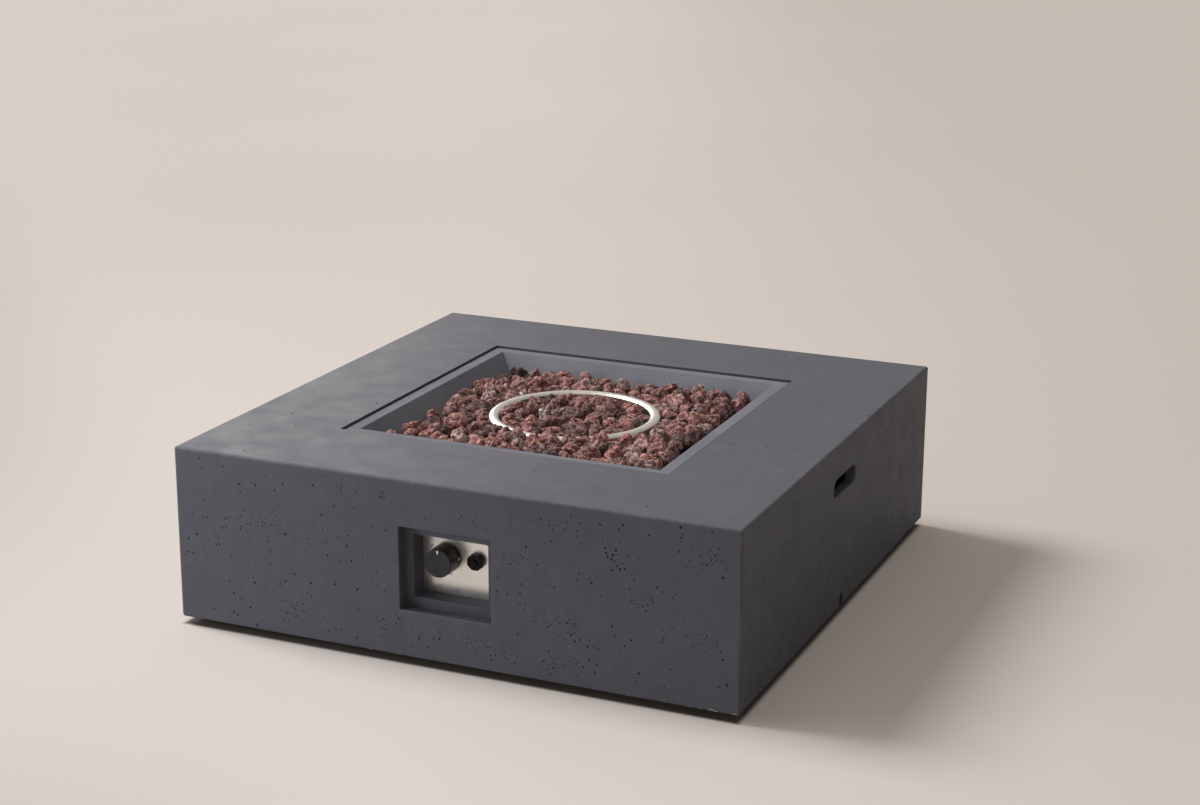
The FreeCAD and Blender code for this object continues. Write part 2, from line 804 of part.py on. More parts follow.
def air_shutter():
    start = Vector(0, mixer_start - shutter_start() - piece_gap, mixer_z)
    length = shutter_length - piece_gap
    bore = mixer_bell_radius + running_fit
    sleeve = rod(start, FRONT, bore + shutter_sheet, length)
    boss_y = mixer_start - shutter_start() - shutter_length / 2
    outside = bore + shutter_sheet + shutter_boss_height
    boss = rod(Vector(0, boss_y, mixer_z), AWAY_X, shutter_boss_radius, outside)
    sleeve = sleeve.fuse(boss).cut(rod(start, FRONT, bore, length))
    first = shutter_start() + (shutter_length - window_length) / 2
    sleeve = sleeve.cut(air_windows(first, window_length, outside))
    hole = rod(Vector(0, boss_y, mixer_z), AWAY_X, shutter_screw_radius + running_fit, outside)
    return sleeve.cut(hole)


def shutter_screw():
    boss_y = mixer_start - shutter_start() - shutter_length / 2
    outside = mixer_bell_radius + running_fit + shutter_sheet + shutter_boss_height
    start = Vector(outside + shutter_screw_head_height, boss_y, mixer_z)
    length = outside - mixer_bell_radius - piece_gap
    head = (shutter_screw_head, shutter_screw_head_height)
    return pan_head_screw(start, TO_LEFT, shutter_screw_radius, length, *head)


def jet_holder():
    """Closes the mixer's end, carries the jet inside it and takes the supply pipe."""
    start = Vector(0, mixer_end, mixer_z)
    inner_end = start + AWAY_Y * holder_spigot
    spigot = rod(start, AWAY_Y, mixer_bore_radius - static_fit, holder_spigot)
    flange = rod(start, FRONT, mixer_bell_radius + collar_proud, holder_flange)
    body = prism(start + FRONT * holder_flange, FRONT, 6, holder_across_flats, holder_length - holder_flange)
    holder = spigot.fuse(flange).fuse(body)
    holder = holder.cut(rod(inner_end, FRONT, holder_bore_radius, holder_length))
    jet_seat = rod(inner_end, FRONT, jet_thread_radius + static_fit, jet_thread_length)
    pipe_seat = rod(start + FRONT * holder_length, AWAY_Y, pipe_radius + static_fit, pipe_seat_depth)
    return holder.cut(jet_seat).cut(pipe_seat)


def gas_jet():
    """The small brass orifice: a hexagon with a threaded tail and a conical nose."""
    seat = Vector(0, mixer_end + holder_spigot, mixer_z)
    tail_end = seat + FRONT * jet_thread_length
    nose_start = seat + AWAY_Y * jet_hex_length
    body = prism(seat, AWAY_Y, 6, jet_across_flats, jet_hex_length)
    nose = Part.makeCone(jet_nose_radius, jet_tip_radius, jet_length - jet_hex_length, nose_start, AWAY_Y)
    jet = rod(seat, FRONT, jet_thread_radius, jet_thread_length).fuse(body).fuse(nose)
    return jet.cut(rod(tail_end, AWAY_Y, jet_bore_radius, jet_thread_length + jet_length))


# ---- Gas supply ------------------------------------------------------------------------------


def pipe_ends():
    """Where the supply pipe bottoms in the jet holder and in the valve."""
    jet_end = Vector(0, mixer_end - holder_length + pipe_seat_depth - pipe_end_room, mixer_z)
    valve_end = Vector(valve_x, valve_back - valve_outlet_depth + pipe_end_room, valve_z)
    return jet_end, valve_end


def supply_pipe():
    jet_end, valve_end = pipe_ends()
    points = [jet_end, jet_end + FRONT * pipe_straight, valve_end + AWAY_Y * pipe_straight, valve_end]
    path = route(points, pipe_bend_radius)
    outside = swept(path, jet_end, FRONT, pipe_radius)
    return outside.cut(swept(path, jet_end, FRONT, pipe_bore_radius))


def pipe_nuts():
    hole = pipe_radius + static_fit
    at_jet = Vector(0, mixer_end - holder_length, mixer_z)
    at_valve = Vector(valve_x, valve_back, valve_z)
    jet_nut = nut(at_jet, FRONT, pipe_nut_flats, pipe_nut_length, hole)
    return jet_nut, nut(at_valve, AWAY_Y, pipe_nut_flats, pipe_nut_length, hole)


def inlet_y():
    return plate_back + valve_length * inlet_share


def valve_screw_places():
    return [valve_x - valve_screw_spacing / 2, valve_x + valve_screw_spacing / 2]


def valve_body():
    axis = Vector(valve_x, plate_back, valve_z)
    ears = block(
        valve_x - valve_ear_span / 2,
        valve_x + valve_ear_span / 2,
        plate_back,
        plate_back + valve_ear_thickness,
        valve_z - valve_ear_width / 2,
        valve_z + valve_ear_width / 2,
    )
    ears = rounded(ears, valve_ear_round, runs_along_y)
    body = rod(axis, AWAY_Y, valve_radius, valve_length)
    inlet = Vector(valve_x, inlet_y(), valve_z)
    body = body.fuse(ears).fuse(rod(inlet, DOWN, inlet_boss_radius, inlet_boss_drop))
    sensor_boss = rod(inlet, TO_LEFT, sensor_boss_radius, valve_radius + sensor_boss_reach)
    body = body.fuse(sensor_boss).removeSplitter()
    body = body.cut(rod(axis, AWAY_Y, chamber_radius, chamber_depth))
    body = body.cut(rod(axis, AWAY_Y, stem_radius + running_fit, chamber_depth + stem_guide_depth))
    outlet = Vector(valve_x, valve_back, valve_z)
    body = body.cut(rod(outlet, FRONT, pipe_radius + static_fit, valve_outlet_depth))
    boss_end = inlet + DOWN * inlet_boss_drop
    body = body.cut(rod(boss_end, UP, inlet_thread_radius + static_fit, inlet_seat_depth))
    body = body.cut(rod(boss_end, UP, inlet_bore_radius, inlet_bore_depth))
    lead_seat = inlet + Vector(-valve_radius - sensor_boss_reach, 0, 0)
    body = body.cut(rod(lead_seat, AWAY_X, sensor_lead_radius + static_fit, lead_seat_depth))
    for x in valve_screw_places():
        start = Vector(x, plate_back, valve_z)
        body = body.cut(rod(start, AWAY_Y, valve_screw_radius + static_fit, valve_screw_hole_depth))
    return body


def valve_screws():
    start_y = plate_front - valve_screw_head_height
    sizes = (valve_screw_radius, plate_sheet + valve_ear_thickness, valve_screw_head, valve_screw_head_height)
    return [pan_head_screw(Vector(x, start_y, valve_z), AWAY_Y, *sizes) for x in valve_screw_places()]


def gas_inlet_fitting():
    """The union that the hose screws on: a hexagon with a flare thread that points down."""
    seat = Vector(valve_x, inlet_y(), valve_z - inlet_boss_drop)
    fitting = rod(seat, UP, inlet_thread_radius, inlet_thread_length)
    fitting = fitting.fuse(prism(seat, DOWN, 6, inlet_hex_flats, inlet_hex_height))
    thread = seat + DOWN * inlet_hex_height
    fitting = fitting.fuse(rod(thread, DOWN, flare_thread_radius, flare_length))
    flare_end = thread + DOWN * flare_length
    cone_base = flare_thread_radius - flare_chamfer
    fitting = fitting.fuse(Part.makeCone(cone_base, flare_tip_radius, flare_cone, flare_end, DOWN))
    tip = flare_end + DOWN * flare_cone
    bore_length = flare_cone + flare_length + inlet_hex_height
    fitting = fitting.cut(rod(tip, UP, flare_bore_radius, bore_length))
    return fitting.cut(rod(seat, UP, inlet_bore_radius, inlet_thread_length))


# ---- Knob, stem and return spring ------------------------------------------------------------


def skirt_y():
    return plate_front - knob_stand_off


def face_y():
    return skirt_y() - knob_length


def knob():
    """A hollow moulded knob with a centre boss for the flatted stem."""
    back = Vector(valve_x, skirt_y(), valve_z)
    front_radius = knob_radius - knob_taper
    outer = turned(back, FRONT, [(0, 0), (0, knob_radius), (knob_length, front_radius), (knob_length, 0)])
    outer = rounded(outer, knob_edge_round, lambda e: e.BoundBox.YMax < face_y() + NEAR)
    inside = knob_length - knob_face
    hollow = rod(back, FRONT, knob_radius - knob_taper - knob_skirt_wall, inside)
    boss_end = back + FRONT * knob_boss_inset
    boss = rod(boss_end, FRONT, knob_boss_radius, inside)
    body = outer.cut(hollow).fuse(boss.common(outer))
    bore_length = inside - knob_boss_inset - stem_bore_end_wall
    bore = flatted_rod(boss_end, FRONT, stem_radius + static_fit, bore_length)
    return body.removeSplitter().cut(bore).cut(pointer_block(pointer_depth, pointer_fit, CUT_PAST))


def pointer_block(depth, spare, proud):
    """The white line's place: a short groove across the rim of the knob's face."""
    z1 = valve_z + knob_radius - knob_taper - pointer_inset + spare
    z0 = z1 - pointer_length - 2 * spare
    reach = pointer_width / 2 + spare
    return block(valve_x - reach, valve_x + reach, face_y() - proud, face_y() + depth, z0, z1)


def knob_pointer():
    return pointer_block(pointer_depth - pointer_back_room, 0, 0)


def flatted_rod(start, axis, radius, length):
    """A round bar along Y with a flat on its upper side, the same flat for every radius."""
    shaft = rod(start, axis, radius, length)
    end = start + axis * length
    top = valve_z + radius - stem_flat
    return shaft.cut(block(
        start.x - radius,
        start.x + radius,
        min(start.y, end.y),
        max(start.y, end.y),
        top,
        top + radius,
    ))


def shoulder_y():
    return plate_back + shoulder_below_plate


def valve_stem():
    """Turns with the knob. Its shoulder pushes the plunger; its tail runs in the valve's guide."""
    front = skirt_y() - knob_length + knob_face + stem_bore_end_wall + stem_end_room
    flat_end = skirt_y() - stem_flat_inset
    tail = plate_back + chamber_depth + stem_guide_depth - knob_travel - stem_end_room
    shaft = flatted_rod(Vector(valve_x, front, valve_z), AWAY_Y, stem_radius, flat_end - front)
    shaft = shaft.fuse(rod(Vector(valve_x, flat_end, valve_z), AWAY_Y, stem_radius, tail - flat_end))
    shoulder = Vector(valve_x, shoulder_y(), valve_z)
    return shaft.fuse(rod(shoulder, AWAY_Y, stem_shoulder_radius, stem_shoulder))


def plunger_front():
    return shoulder_y() + stem_shoulder


def valve_plunger():
    start = Vector(valve_x, plunger_front(), valve_z)
    ring = rod(start, AWAY_Y, chamber_radius - running_fit, plunger_thickness)
    return ring.cut(rod(start, AWAY_Y, stem_radius + running_fit, plunger_thickness))


def valve_spring():
    start_y = plunger_front() + plunger_thickness
    length = plate_back + chamber_depth - start_y
    middle = (stem_radius + chamber_radius) / 2
    return coil(Vector(valve_x, start_y, valve_z), AWAY_Y, middle, spring_wire_radius, length, spring_turns)


# ---- Control plate ---------------------------------------------------------------------------


def plate_screw_places():
    across = plate_width / 2 - plate_screw_inset
    up = plate_height / 2 - plate_screw_inset
    return [(sx * across, recess_z + sz * up) for sz in (-1, 1) for sx in (-1, 1)]


def control_plate():
    plate = block(
        -plate_width / 2,
        plate_width / 2,
        plate_front,
        plate_back,
        recess_z - plate_height / 2,
        recess_z + plate_height / 2,
    )
    plate = rounded(plate, plate_corner_round, runs_along_y)
    holes = [(x, z, plate_screw_radius + static_fit) for x, z in plate_screw_places()]
    holes += [(x, valve_z, valve_screw_radius + static_fit) for x in valve_screw_places()]
    holes.append((valve_x, valve_z, stem_hole_radius))
    holes.append((igniter_x, igniter_z, igniter_barrel_radius + static_fit))
    for x, z, radius in holes:
        plate = plate.cut(rod(Vector(x, plate_front, z), AWAY_Y, radius, plate_sheet))
    return plate


def plate_screws():
    start_y = plate_back + plate_screw_head_height
    sizes = (plate_screw_radius, plate_sheet + plate_screw_length - screw_hole_spare)
    head = (plate_screw_head, plate_screw_head_height)
    return [pan_head_screw(Vector(x, start_y, z), FRONT, *sizes, *head) for x, z in plate_screw_places()]


# ---- Igniter ---------------------------------------------------------------------------------


def flange_face():
    return plate_front - igniter_flange


def spigot_face():
    return flange_face() - spigot_length


def cap_back():
    return flange_face() - piece_gap


def cap_front():
    return cap_back() - cap_length


def cell_back():
    return igniter_back - cell_end_wall


def igniter_body():
    """A plastic tube that holds one cell, with a flange, a threaded spigot and a terminal."""
    axis = Vector(igniter_x, igniter_back, igniter_z)
    barrel = igniter_back - plate_front
    outline = [(-terminal_length, 0), (-terminal_length, terminal_radius), (0, terminal_radius)]
    outline += [(0, igniter_barrel_radius), (barrel, igniter_barrel_radius)]
    outline += [(barrel, igniter_flange_radius), (barrel + igniter_flange, igniter_flange_radius)]
    outline += [(barrel + igniter_flange, spigot_radius)]
    outline += [(barrel + igniter_flange + spigot_length, spigot_radius)]
    bore = battery_radius + battery_room
    outline += [(barrel + igniter_flange + spigot_length, bore), (cell_end_wall, bore), (cell_end_wall, 0)]
    body = turned(axis, FRONT, outline)
    terminal_end = Vector(igniter_x, igniter_back + terminal_length, igniter_z)
    return body.cut(rod(terminal_end, FRONT, lead_radius + static_fit, terminal_seat))


def igniter_lock_nut():
    start = Vector(igniter_x, plate_back, igniter_z)
    hole = igniter_barrel_radius + static_fit
    return nut(start, AWAY_Y, igniter_nut_flats, igniter_nut_thickness, hole)


def battery():
    start = Vector(igniter_x, cell_back(), igniter_z)
    outline = [(0, 0), (0, battery_radius), (battery_length, battery_radius)]
    outline += [(battery_length, battery_nub_radius), (battery_length + battery_nub, battery_nub_radius)]
    return turned(start, FRONT, outline + [(battery_length + battery_nub, 0)])


def nub_face():
    return cell_back() - battery_length - battery_nub


def igniter_cap():
    """The eight-sided cap that screws on the spigot, lets the button through and keeps the cell in."""
    start = Vector(igniter_x, cap_back(), igniter_z)
    corner = cap_across_flats / 2 / math.cos(math.pi / 8)
    bevel = [(0, 0), (0, corner), (cap_length - cap_chamfer, corner)]
    bevel.append((cap_length, corner - cap_face_inset))
    cap = prism(start, FRONT, 8, cap_across_flats, cap_length)
    cap = cap.common(turned(start, FRONT, bevel + [(cap_length, 0)]))
    cap = cap.cut(rod(start, FRONT, spigot_radius + running_fit, cap_length - cap_wall))
    return cap.cut(rod(start, FRONT, button_radius + running_fit, cap_length))


def button_back():
    return cap_front() + cap_wall + piece_gap + button_rim


def igniter_button():
    start = Vector(igniter_x, button_back(), igniter_z)
    reach = button_back() - cap_front() + button_travel + button_left_proud
    outline = [(0, 0), (0, button_rim_radius), (button_rim, button_rim_radius), (button_rim, button_radius)]
    outline += [(reach - button_chamfer, button_radius), (reach, button_radius - button_chamfer), (reach, 0)]
    return turned(start, FRONT, outline)


def contact_spring():
    start = Vector(igniter_x, button_back(), igniter_z)
    length = nub_face() - button_back()
    return coil(start, AWAY_Y, battery_nub_radius, contact_wire_radius, length, contact_turns)


# ---- Electrode, flame sensor and their leads -------------------------------------------------


def electrode():
    top = ring_top - electrode_top_below_ring
    length = top - electrode_bottom
    neck = electrode_radius - electrode_neck
    tip = electrode_radius - electrode_tip_chamfer
    bore = spark_rod_radius + static_fit
    outline = [(0, lead_radius), (0, neck), (electrode_neck_length, neck)]
    outline += [(electrode_neck_length, electrode_radius), (length - electrode_tip_chamfer, electrode_radius)]
    outline += [(length, tip), (length, bore), (electrode_neck_length, bore)]
    outline.append((electrode_neck_length, lead_radius))
    return turned(Vector(electrode_x, electrode_y, electrode_bottom), UP, outline)


def spark_rod():
    top = ring_top - electrode_top_below_ring
    start = Vector(electrode_x, electrode_y, electrode_bottom + electrode_neck_length + spark_rod_seat)
    upright = rod(start, UP, spark_rod_radius, top + spark_rod_length - start.z)
    tip = Vector(electrode_x, electrode_y - spark_rod_radius, top + spark_rod_length - spark_rod_radius)
    return upright.fuse(rod(tip, AWAY_Y, spark_rod_radius, spark_rod_reach)).removeSplitter()


def flame_sensor():
    top = ring_top - sensor_top_below_ring
    length = top - electrode_bottom
    neck = sensor_radius - sensor_neck
    socket = sensor_lead_radius + static_fit
    outline = [(0, socket), (0, neck), (sensor_neck_length, neck), (sensor_neck_length, sensor_radius)]
    outline += [(length - sensor_tip, sensor_radius), (length, sensor_radius - sensor_tip_chamfer)]
    outline += [(length, 0), (sensor_socket, 0), (sensor_socket, socket)]
    return turned(Vector(electrode_x, sensor_y, electrode_bottom), UP, outline)


def lead_z():
    return electrode_bottom - lead_slack_drop


def ignition_lead():
    end = Vector(igniter_x, igniter_back + terminal_length - terminal_seat + lead_end_room, igniter_z)
    start = Vector(electrode_x, electrode_y, electrode_bottom + electrode_neck_length - 2 * lead_end_room)
    points = [start, Vector(electrode_x, electrode_y, lead_z())]
    slack_y = electrode_y - lead_slack_reach
    points.append(Vector(electrode_x + lead_slack_aside, slack_y, lead_z() - lead_slack_sag))
    low_z = igniter_z - lead_rise
    points.append(Vector(igniter_x - lead_slack_sag, shield_y + lead_rise_start, low_z))
    points += [Vector(igniter_x, shield_y - lead_past_shield, igniter_z), end]
    path = route(points, ignition_lead_bend)
    return swept(path, start, DOWN, lead_radius - static_fit)


def sensor_lead():
    boss_face = valve_x - valve_radius - sensor_boss_reach
    seat = Vector(boss_face + lead_seat_depth - lead_end_room, inlet_y(), valve_z)
    start = Vector(electrode_x, sensor_y, electrode_bottom + sensor_socket - lead_end_room)
    outside = boss_face - sensor_lead_aside
    points = [start, Vector(electrode_x, sensor_y, lead_z() + lead_slack_sag)]
    points.append(Vector(electrode_x - sensor_lead_swing, sensor_y - sensor_lead_reach, lead_z()))
    points.append(Vector(outside, shield_y + 2 * lead_past_shield, valve_z - lead_past_shield))
    points += [Vector(outside, inlet_y(), valve_z), seat]
    path = route(points, sensor_lead_bend)
    return swept(path, start, DOWN, sensor_lead_radius)


def bracket_screw_places():
    x = electrode_x + bracket_width / 2 + bracket_foot_length / 2
    middle = (electrode_y + sensor_y) / 2
    return [(x, middle - bracket_screw_spacing / 2), (x, middle + bracket_screw_spacing / 2)]


def sensor_bracket():
    """A folded clip: a foot on the pan's floor, a riser and a shelf that grips both probes."""
    middle = (electrode_y + sensor_y) / 2
    y0 = middle - bracket_shelf_length / 2
    y1 = middle + bracket_shelf_length / 2
    x0 = electrode_x - bracket_width / 2
    x1 = electrode_x + bracket_width / 2
    shelf = block(x0, x1, y0, y1, shelf_z - bracket_sheet, shelf_z)
    riser = block(x1 - bracket_sheet, x1, y0, y1, pan_floor, shelf_z)
    base = block(x1 - bracket_sheet, x1 + bracket_foot_length, y0, y1, pan_floor, pan_floor + bracket_sheet)
    bracket = shelf.fuse(riser).fuse(base).removeSplitter()
    for y, radius in ((electrode_y, electrode_radius), (sensor_y, sensor_radius)):
        probe = rod(Vector(electrode_x, y, pan_floor), UP, radius + static_fit, bracket_rise)
        bracket = bracket.cut(probe)
    for x, y in bracket_screw_places():
        start = Vector(x, y, pan_floor)
        bracket = bracket.cut(rod(start, UP, bracket_screw_radius + static_fit, bracket_sheet))
    return bracket


def bracket_screws():
    head_top = pan_floor + bracket_sheet + small_head_height
    length = bracket_sheet + pan_sheet + small_screw_tail
    sizes = (bracket_screw_radius, length, small_head, small_head_height)
    return [pan_head_screw(Vector(x, y, head_top), DOWN, *sizes) for x, y in bracket_screw_places()]


def bracket_nuts():
    hole = bracket_screw_radius + static_fit
    sizes = (small_nut_flats, small_nut_thickness, hole)
    return [nut(Vector(x, y, pan_under), DOWN, *sizes) for x, y in bracket_screw_places()]


# ---- Heat shield -----------------------------------------------------------------------------


def shield_screw_places():
    return [-shield_screw_spacing, 0, shield_screw_spacing]


def heat_shield():
    """A folded sheet that hangs from the slab between the hot pan and the controls."""
    reach = shield_width / 2
    front = shield_y - shield_sheet
    screen = block(-reach, reach, front, shield_y, slab_under - shield_height, slab_under)
    flange = block(-reach, reach, shield_y - shield_flange, shield_y, slab_under - shield_sheet, slab_under)
    shield = screen.fuse(flange).removeSplitter()
    for x in shield_screw_places():
        start = Vector(x, shield_y - shield_flange / 2, slab_under - shield_sheet)
        shield = shield.cut(rod(start, UP, shield_screw_radius + static_fit, shield_sheet))
    lead_x = valve_x - valve_radius - sensor_boss_reach - sensor_lead_aside
    for x, z in ((valve_x, valve_z), (igniter_x, igniter_z), (lead_x, valve_z)):
        shield = shield.cut(rod(Vector(x, shield_y, z), FRONT, shield_hole_radius, shield_sheet))
    return shield


def shield_screws():
    screws = []
    for x in shield_screw_places():
        start = Vector(x, shield_y - shield_flange / 2, slab_under - shield_sheet - small_head_height)
        length = shield_sheet + shield_screw_length - screw_hole_spare
        screws.append(pan_head_screw(start, UP, shield_screw_radius, length, small_head, small_head_height))
    return screws


# ---- Lava rock -------------------------------------------------------------------------------


def lava_rock_fill():
    """The packed lower layer of rock, clear of the burner's tube and hub and of the bracket."""
    fill = pan_space(fill_clearance, pan_floor + fill_clearance, fill_top)
    nut_room = nut_across_flats / math.sqrt(3) + fill_clearance
    fill = fill.cut(rod(Vector(0, 0, pan_floor), UP, nut_room, pan_depth))
    tube_room = cross_tube_radius + fill_clearance
    tube_end = ring_outer + fill_clearance
    fill = fill.cut(rod(Vector(0, -tube_end, cross_tube_z), AWAY_Y, tube_room, 2 * tube_end))
    fill = fill.cut(block(-tube_room, tube_room, -tube_end, tube_end, cross_tube_z, ring_top))
    for y, radius in ((electrode_y, electrode_radius), (sensor_y, sensor_radius)):
        fill = fill.cut(rod(Vector(electrode_x, y, pan_floor), UP, radius + fill_clearance, pan_depth))
    middle = (electrode_y + sensor_y) / 2
    reach = bracket_shelf_length / 2 + fill_clearance
    x0 = electrode_x - bracket_width / 2 - fill_clearance
    x1 = electrode_x + bracket_width / 2 + fill_clearance
    under_shelf = block(x0, x1, middle - reach, middle + reach, pan_floor, shelf_z + fill_clearance)
    foot_top = pan_floor + bracket_sheet + small_head_height + fill_clearance
    over_foot = block(x0, x1 + bracket_foot_length, middle - reach, middle + reach, pan_floor, foot_top)
    return fill.cut(under_shelf).cut(over_foot)


def rock(x, y, base, radius, height, luck):
    """One broken stone: rough rings of corners between a flat base and a blunt peak."""
    rings = []
    levels = ((0, rock_foot_share), (rock_waist, 1.0), (rock_shoulder, rock_shoulder_share))
    for share, spread in levels:
        turn = luck.uniform(0, 2 * math.pi / rock_sides)
        corners = []
        for i in range(rock_sides):
            angle = turn + 2 * math.pi * i / rock_sides
            reach = radius * spread * luck.uniform(1 - rock_roughness, 1)
            rise = height * share * (1 + luck.uniform(-rock_unevenness, rock_unevenness))
            corners.append(Vector(x + reach * math.cos(angle), y + reach * math.sin(angle), base + rise))
        rings.append(corners)
    peak_x = x + luck.uniform(-rock_peak_shift, rock_peak_shift)
    peak_y = y + luck.uniform(-rock_peak_shift, rock_peak_shift)
    peak = Vector(peak_x, peak_y, base + height)
    faces = [Part.Face(Part.makePolygon(rings[0] + rings[0][:1]))]
    for lower, upper in zip(rings, rings[1:]):
        faces += band(lower, upper, x, y)
    for a, b in zip(rings[-1], rings[-1][1:] + rings[-1][:1]):
        faces.append(Part.Face(Part.makePolygon([a, b, peak, a])))
    stone = Part.Solid(Part.Shell(faces))
    if stone.Volume < 0:
        stone.reverse()
    return stone


def band(lower, upper, x, y):
    """Triangles between two rings of corners, matched by their angle round (x, y)."""
    faces = []
    count = len(lower)

    def angle(corner):
        return math.atan2(corner.y - y, corner.x - x)

    def turn_from_first(k):
        return abs(math.remainder(angle(upper[k]) - angle(lower[0]), 2 * math.pi))

    offset = min(range(count), key=turn_from_first)
    for i in range(count):
        a, b = lower[i], lower[(i + 1) % count]
        c, d = upper[(i + offset) % count], upper[(i + 1 + offset) % count]
        faces.append(Part.Face(Part.makePolygon([a, b, c, a])))
        faces.append(Part.Face(Part.makePolygon([b, d, c, b])))
    return faces


def room_for_rock(x, y):
    """The largest radius a stone may have here without reaching the ring or a probe."""
    radius = rock_pitch / 2 - rock_jitter - rock_spacing / 2
    away = math.hypot(x, y)
    if away < ring_middle:
        radius = min(radius, ring_inner - away - rock_spacing)
    else:
        radius = min(radius, away - ring_outer - rock_spacing)
    for probe_y, size in ((electrode_y, electrode_radius), (sensor_y, sensor_radius)):
        radius = min(radius, math.hypot(x - electrode_x, y - probe_y) - size - rock_spacing)
    return radius


def heap_rise(x, y, luck):
    """How far the heap stands above the fill here: low at the pan's walls, crowned in the middle."""
    inward = min(1.0, (fill_half - max(abs(x), abs(y))) / heap_width)
    rise = edge_rock_rise + (crown_rock_rise - edge_rock_rise) * inward
    if y < -ring_outer and abs(x) < ring_middle:
        rise += front_heap_rise
    return rise + luck.uniform(-rock_rise_spread, rock_rise_spread)


def lava_rocks():
    luck = random.Random(rock_seed)
    stones = []
    for place in range(rock_rows * rock_rows):
        row, column = divmod(place, rock_rows)
        x = (column - (rock_rows - 1) / 2) * rock_pitch + luck.uniform(-rock_jitter, rock_jitter)
        y = (row - (rock_rows - 1) / 2) * rock_pitch + luck.uniform(-rock_jitter, rock_jitter)
        rise = heap_rise(x, y, luck)
        radius = room_for_rock(x, y)
        if radius < smallest_rock:
            continue
        base = fill_top
        if abs(x) < cross_tube_radius + radius and abs(y) < ring_middle:
            base = cross_tube_z + cross_tube_radius + piece_gap
        stones.append(rock(x, y, base, radius, fill_top + rise - base, luck))
    return stones


# ---- Build every piece -----------------------------------------------------------------------

os.makedirs("parts", exist_ok=True)

save("table_shell", table_shell())
corner_names = ("front_left", "front_right", "back_left", "back_right")
for corner_name, (foot_x, foot_y) in zip(corner_names, corners_of(foot_centre)):
    save("rubber_foot_" + corner_name, foot(foot_x, foot_y))
save("foot_screws", *[foot_screw(x, y) for x, y in corners_of(foot_centre)])
save("burner_pan", burner_pan())
save("burner_ring", burner_ring())
save("burner_cross_tube", burner_cross_tube())
save("inlet_nipple", inlet_nipple())
save("burner_lock_nuts", *burner_lock_nuts())
save("burner_elbow", burner_elbow())
save("mixer_tube", mixer_tube())
save("air_shutter", air_shutter())
save("shutter_screw", shutter_screw())
save("jet_holder", jet_holder())
save("gas_jet", gas_jet())
save("supply_pipe", supply_pipe())
save("pipe_nuts", *pipe_nuts())
save("valve_body", valve_body())
save("valve_screws", *valve_screws())
save("gas_inlet_fitting", gas_inlet_fitting())
save("knob", knob())
save("knob_pointer", knob_pointer())
save("valve_stem", valve_stem())
save("valve_plunger", valve_plunger())
save("valve_spring", valve_spring())
save("control_plate", control_plate())
save("plate_screws", *plate_screws())
save("igniter_body", igniter_body())
save("igniter_lock_nut", igniter_lock_nut())
save("battery", battery())
save("igniter_cap", igniter_cap())
save("igniter_button", igniter_button())
save("contact_spring", contact_spring())
save("electrode", electrode())
save("spark_rod", spark_rod())
save("flame_sensor", flame_sensor())
save("ignition_lead", ignition_lead())
save("sensor_lead", sensor_lead())
save("sensor_bracket", sensor_bracket())
save("bracket_screws", *bracket_screws())
save("bracket_nuts", *bracket_nuts())
save("heat_shield", heat_shield())
save("shield_screws", *shield_screws())
save("lava_rock_fill", lava_rock_fill())
save("lava_rocks", *lava_rocks())
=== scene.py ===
import math
import random

import bmesh
import bpy
import numpy
from mathutils import Matrix, Vector, noise
from mathutils.geometry import delaunay_2d_cdt


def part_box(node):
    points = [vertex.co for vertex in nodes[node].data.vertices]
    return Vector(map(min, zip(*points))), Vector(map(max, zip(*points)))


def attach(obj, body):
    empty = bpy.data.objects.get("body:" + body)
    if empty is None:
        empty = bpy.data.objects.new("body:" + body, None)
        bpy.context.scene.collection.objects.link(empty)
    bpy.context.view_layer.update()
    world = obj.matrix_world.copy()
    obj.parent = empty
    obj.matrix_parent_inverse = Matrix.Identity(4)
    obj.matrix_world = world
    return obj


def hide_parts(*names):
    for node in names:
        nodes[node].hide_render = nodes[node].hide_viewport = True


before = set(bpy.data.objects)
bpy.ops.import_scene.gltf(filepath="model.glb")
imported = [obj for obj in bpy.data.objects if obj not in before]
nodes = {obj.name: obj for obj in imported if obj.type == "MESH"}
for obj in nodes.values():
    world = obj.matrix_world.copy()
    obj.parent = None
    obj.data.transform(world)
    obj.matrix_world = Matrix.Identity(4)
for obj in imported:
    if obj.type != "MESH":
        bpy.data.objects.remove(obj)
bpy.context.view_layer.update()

# ---- Table casting -------------------------------------------------------------------------------
# The table is one hollow casting of tinted fibre concrete, poured upside down in a smooth mould.
# Air trapped against the mould leaves round pinholes, most of them in the four upright faces, and
# moving the table about has knocked small chips off its lower arrises.


def finish(name, roughness, metallic=0.0):
    """A material to build up: its node tree and the shader that the layers below feed."""
    made = bpy.data.materials.new(name)
    made.use_nodes = True
    shader = made.node_tree.nodes["Principled BSDF"]
    shader.inputs["Roughness"].default_value = roughness
    shader.inputs["Metallic"].default_value = metallic
    return made, made.node_tree, shader


def grain(tree, size, detail=3.0, stretch=(1.0, 1.0, 1.0), blur=0.5):
    """A cloudy pattern whose blobs are about size metres across, longer where stretch is larger."""
    place = tree.nodes.new("ShaderNodeTexCoord")
    pull = tree.nodes.new("ShaderNodeMapping")
    pull.inputs["Scale"].default_value = [1.0 / s for s in stretch]
    clouds = tree.nodes.new("ShaderNodeTexNoise")
    clouds.inputs["Scale"].default_value = 1.0 / size
    clouds.inputs["Detail"].default_value = detail
    clouds.inputs["Roughness"].default_value = blur
    tree.links.new(place.outputs["Object"], pull.inputs["Vector"])
    tree.links.new(pull.outputs["Vector"], clouds.inputs["Vector"])
    return clouds.outputs["Fac"]


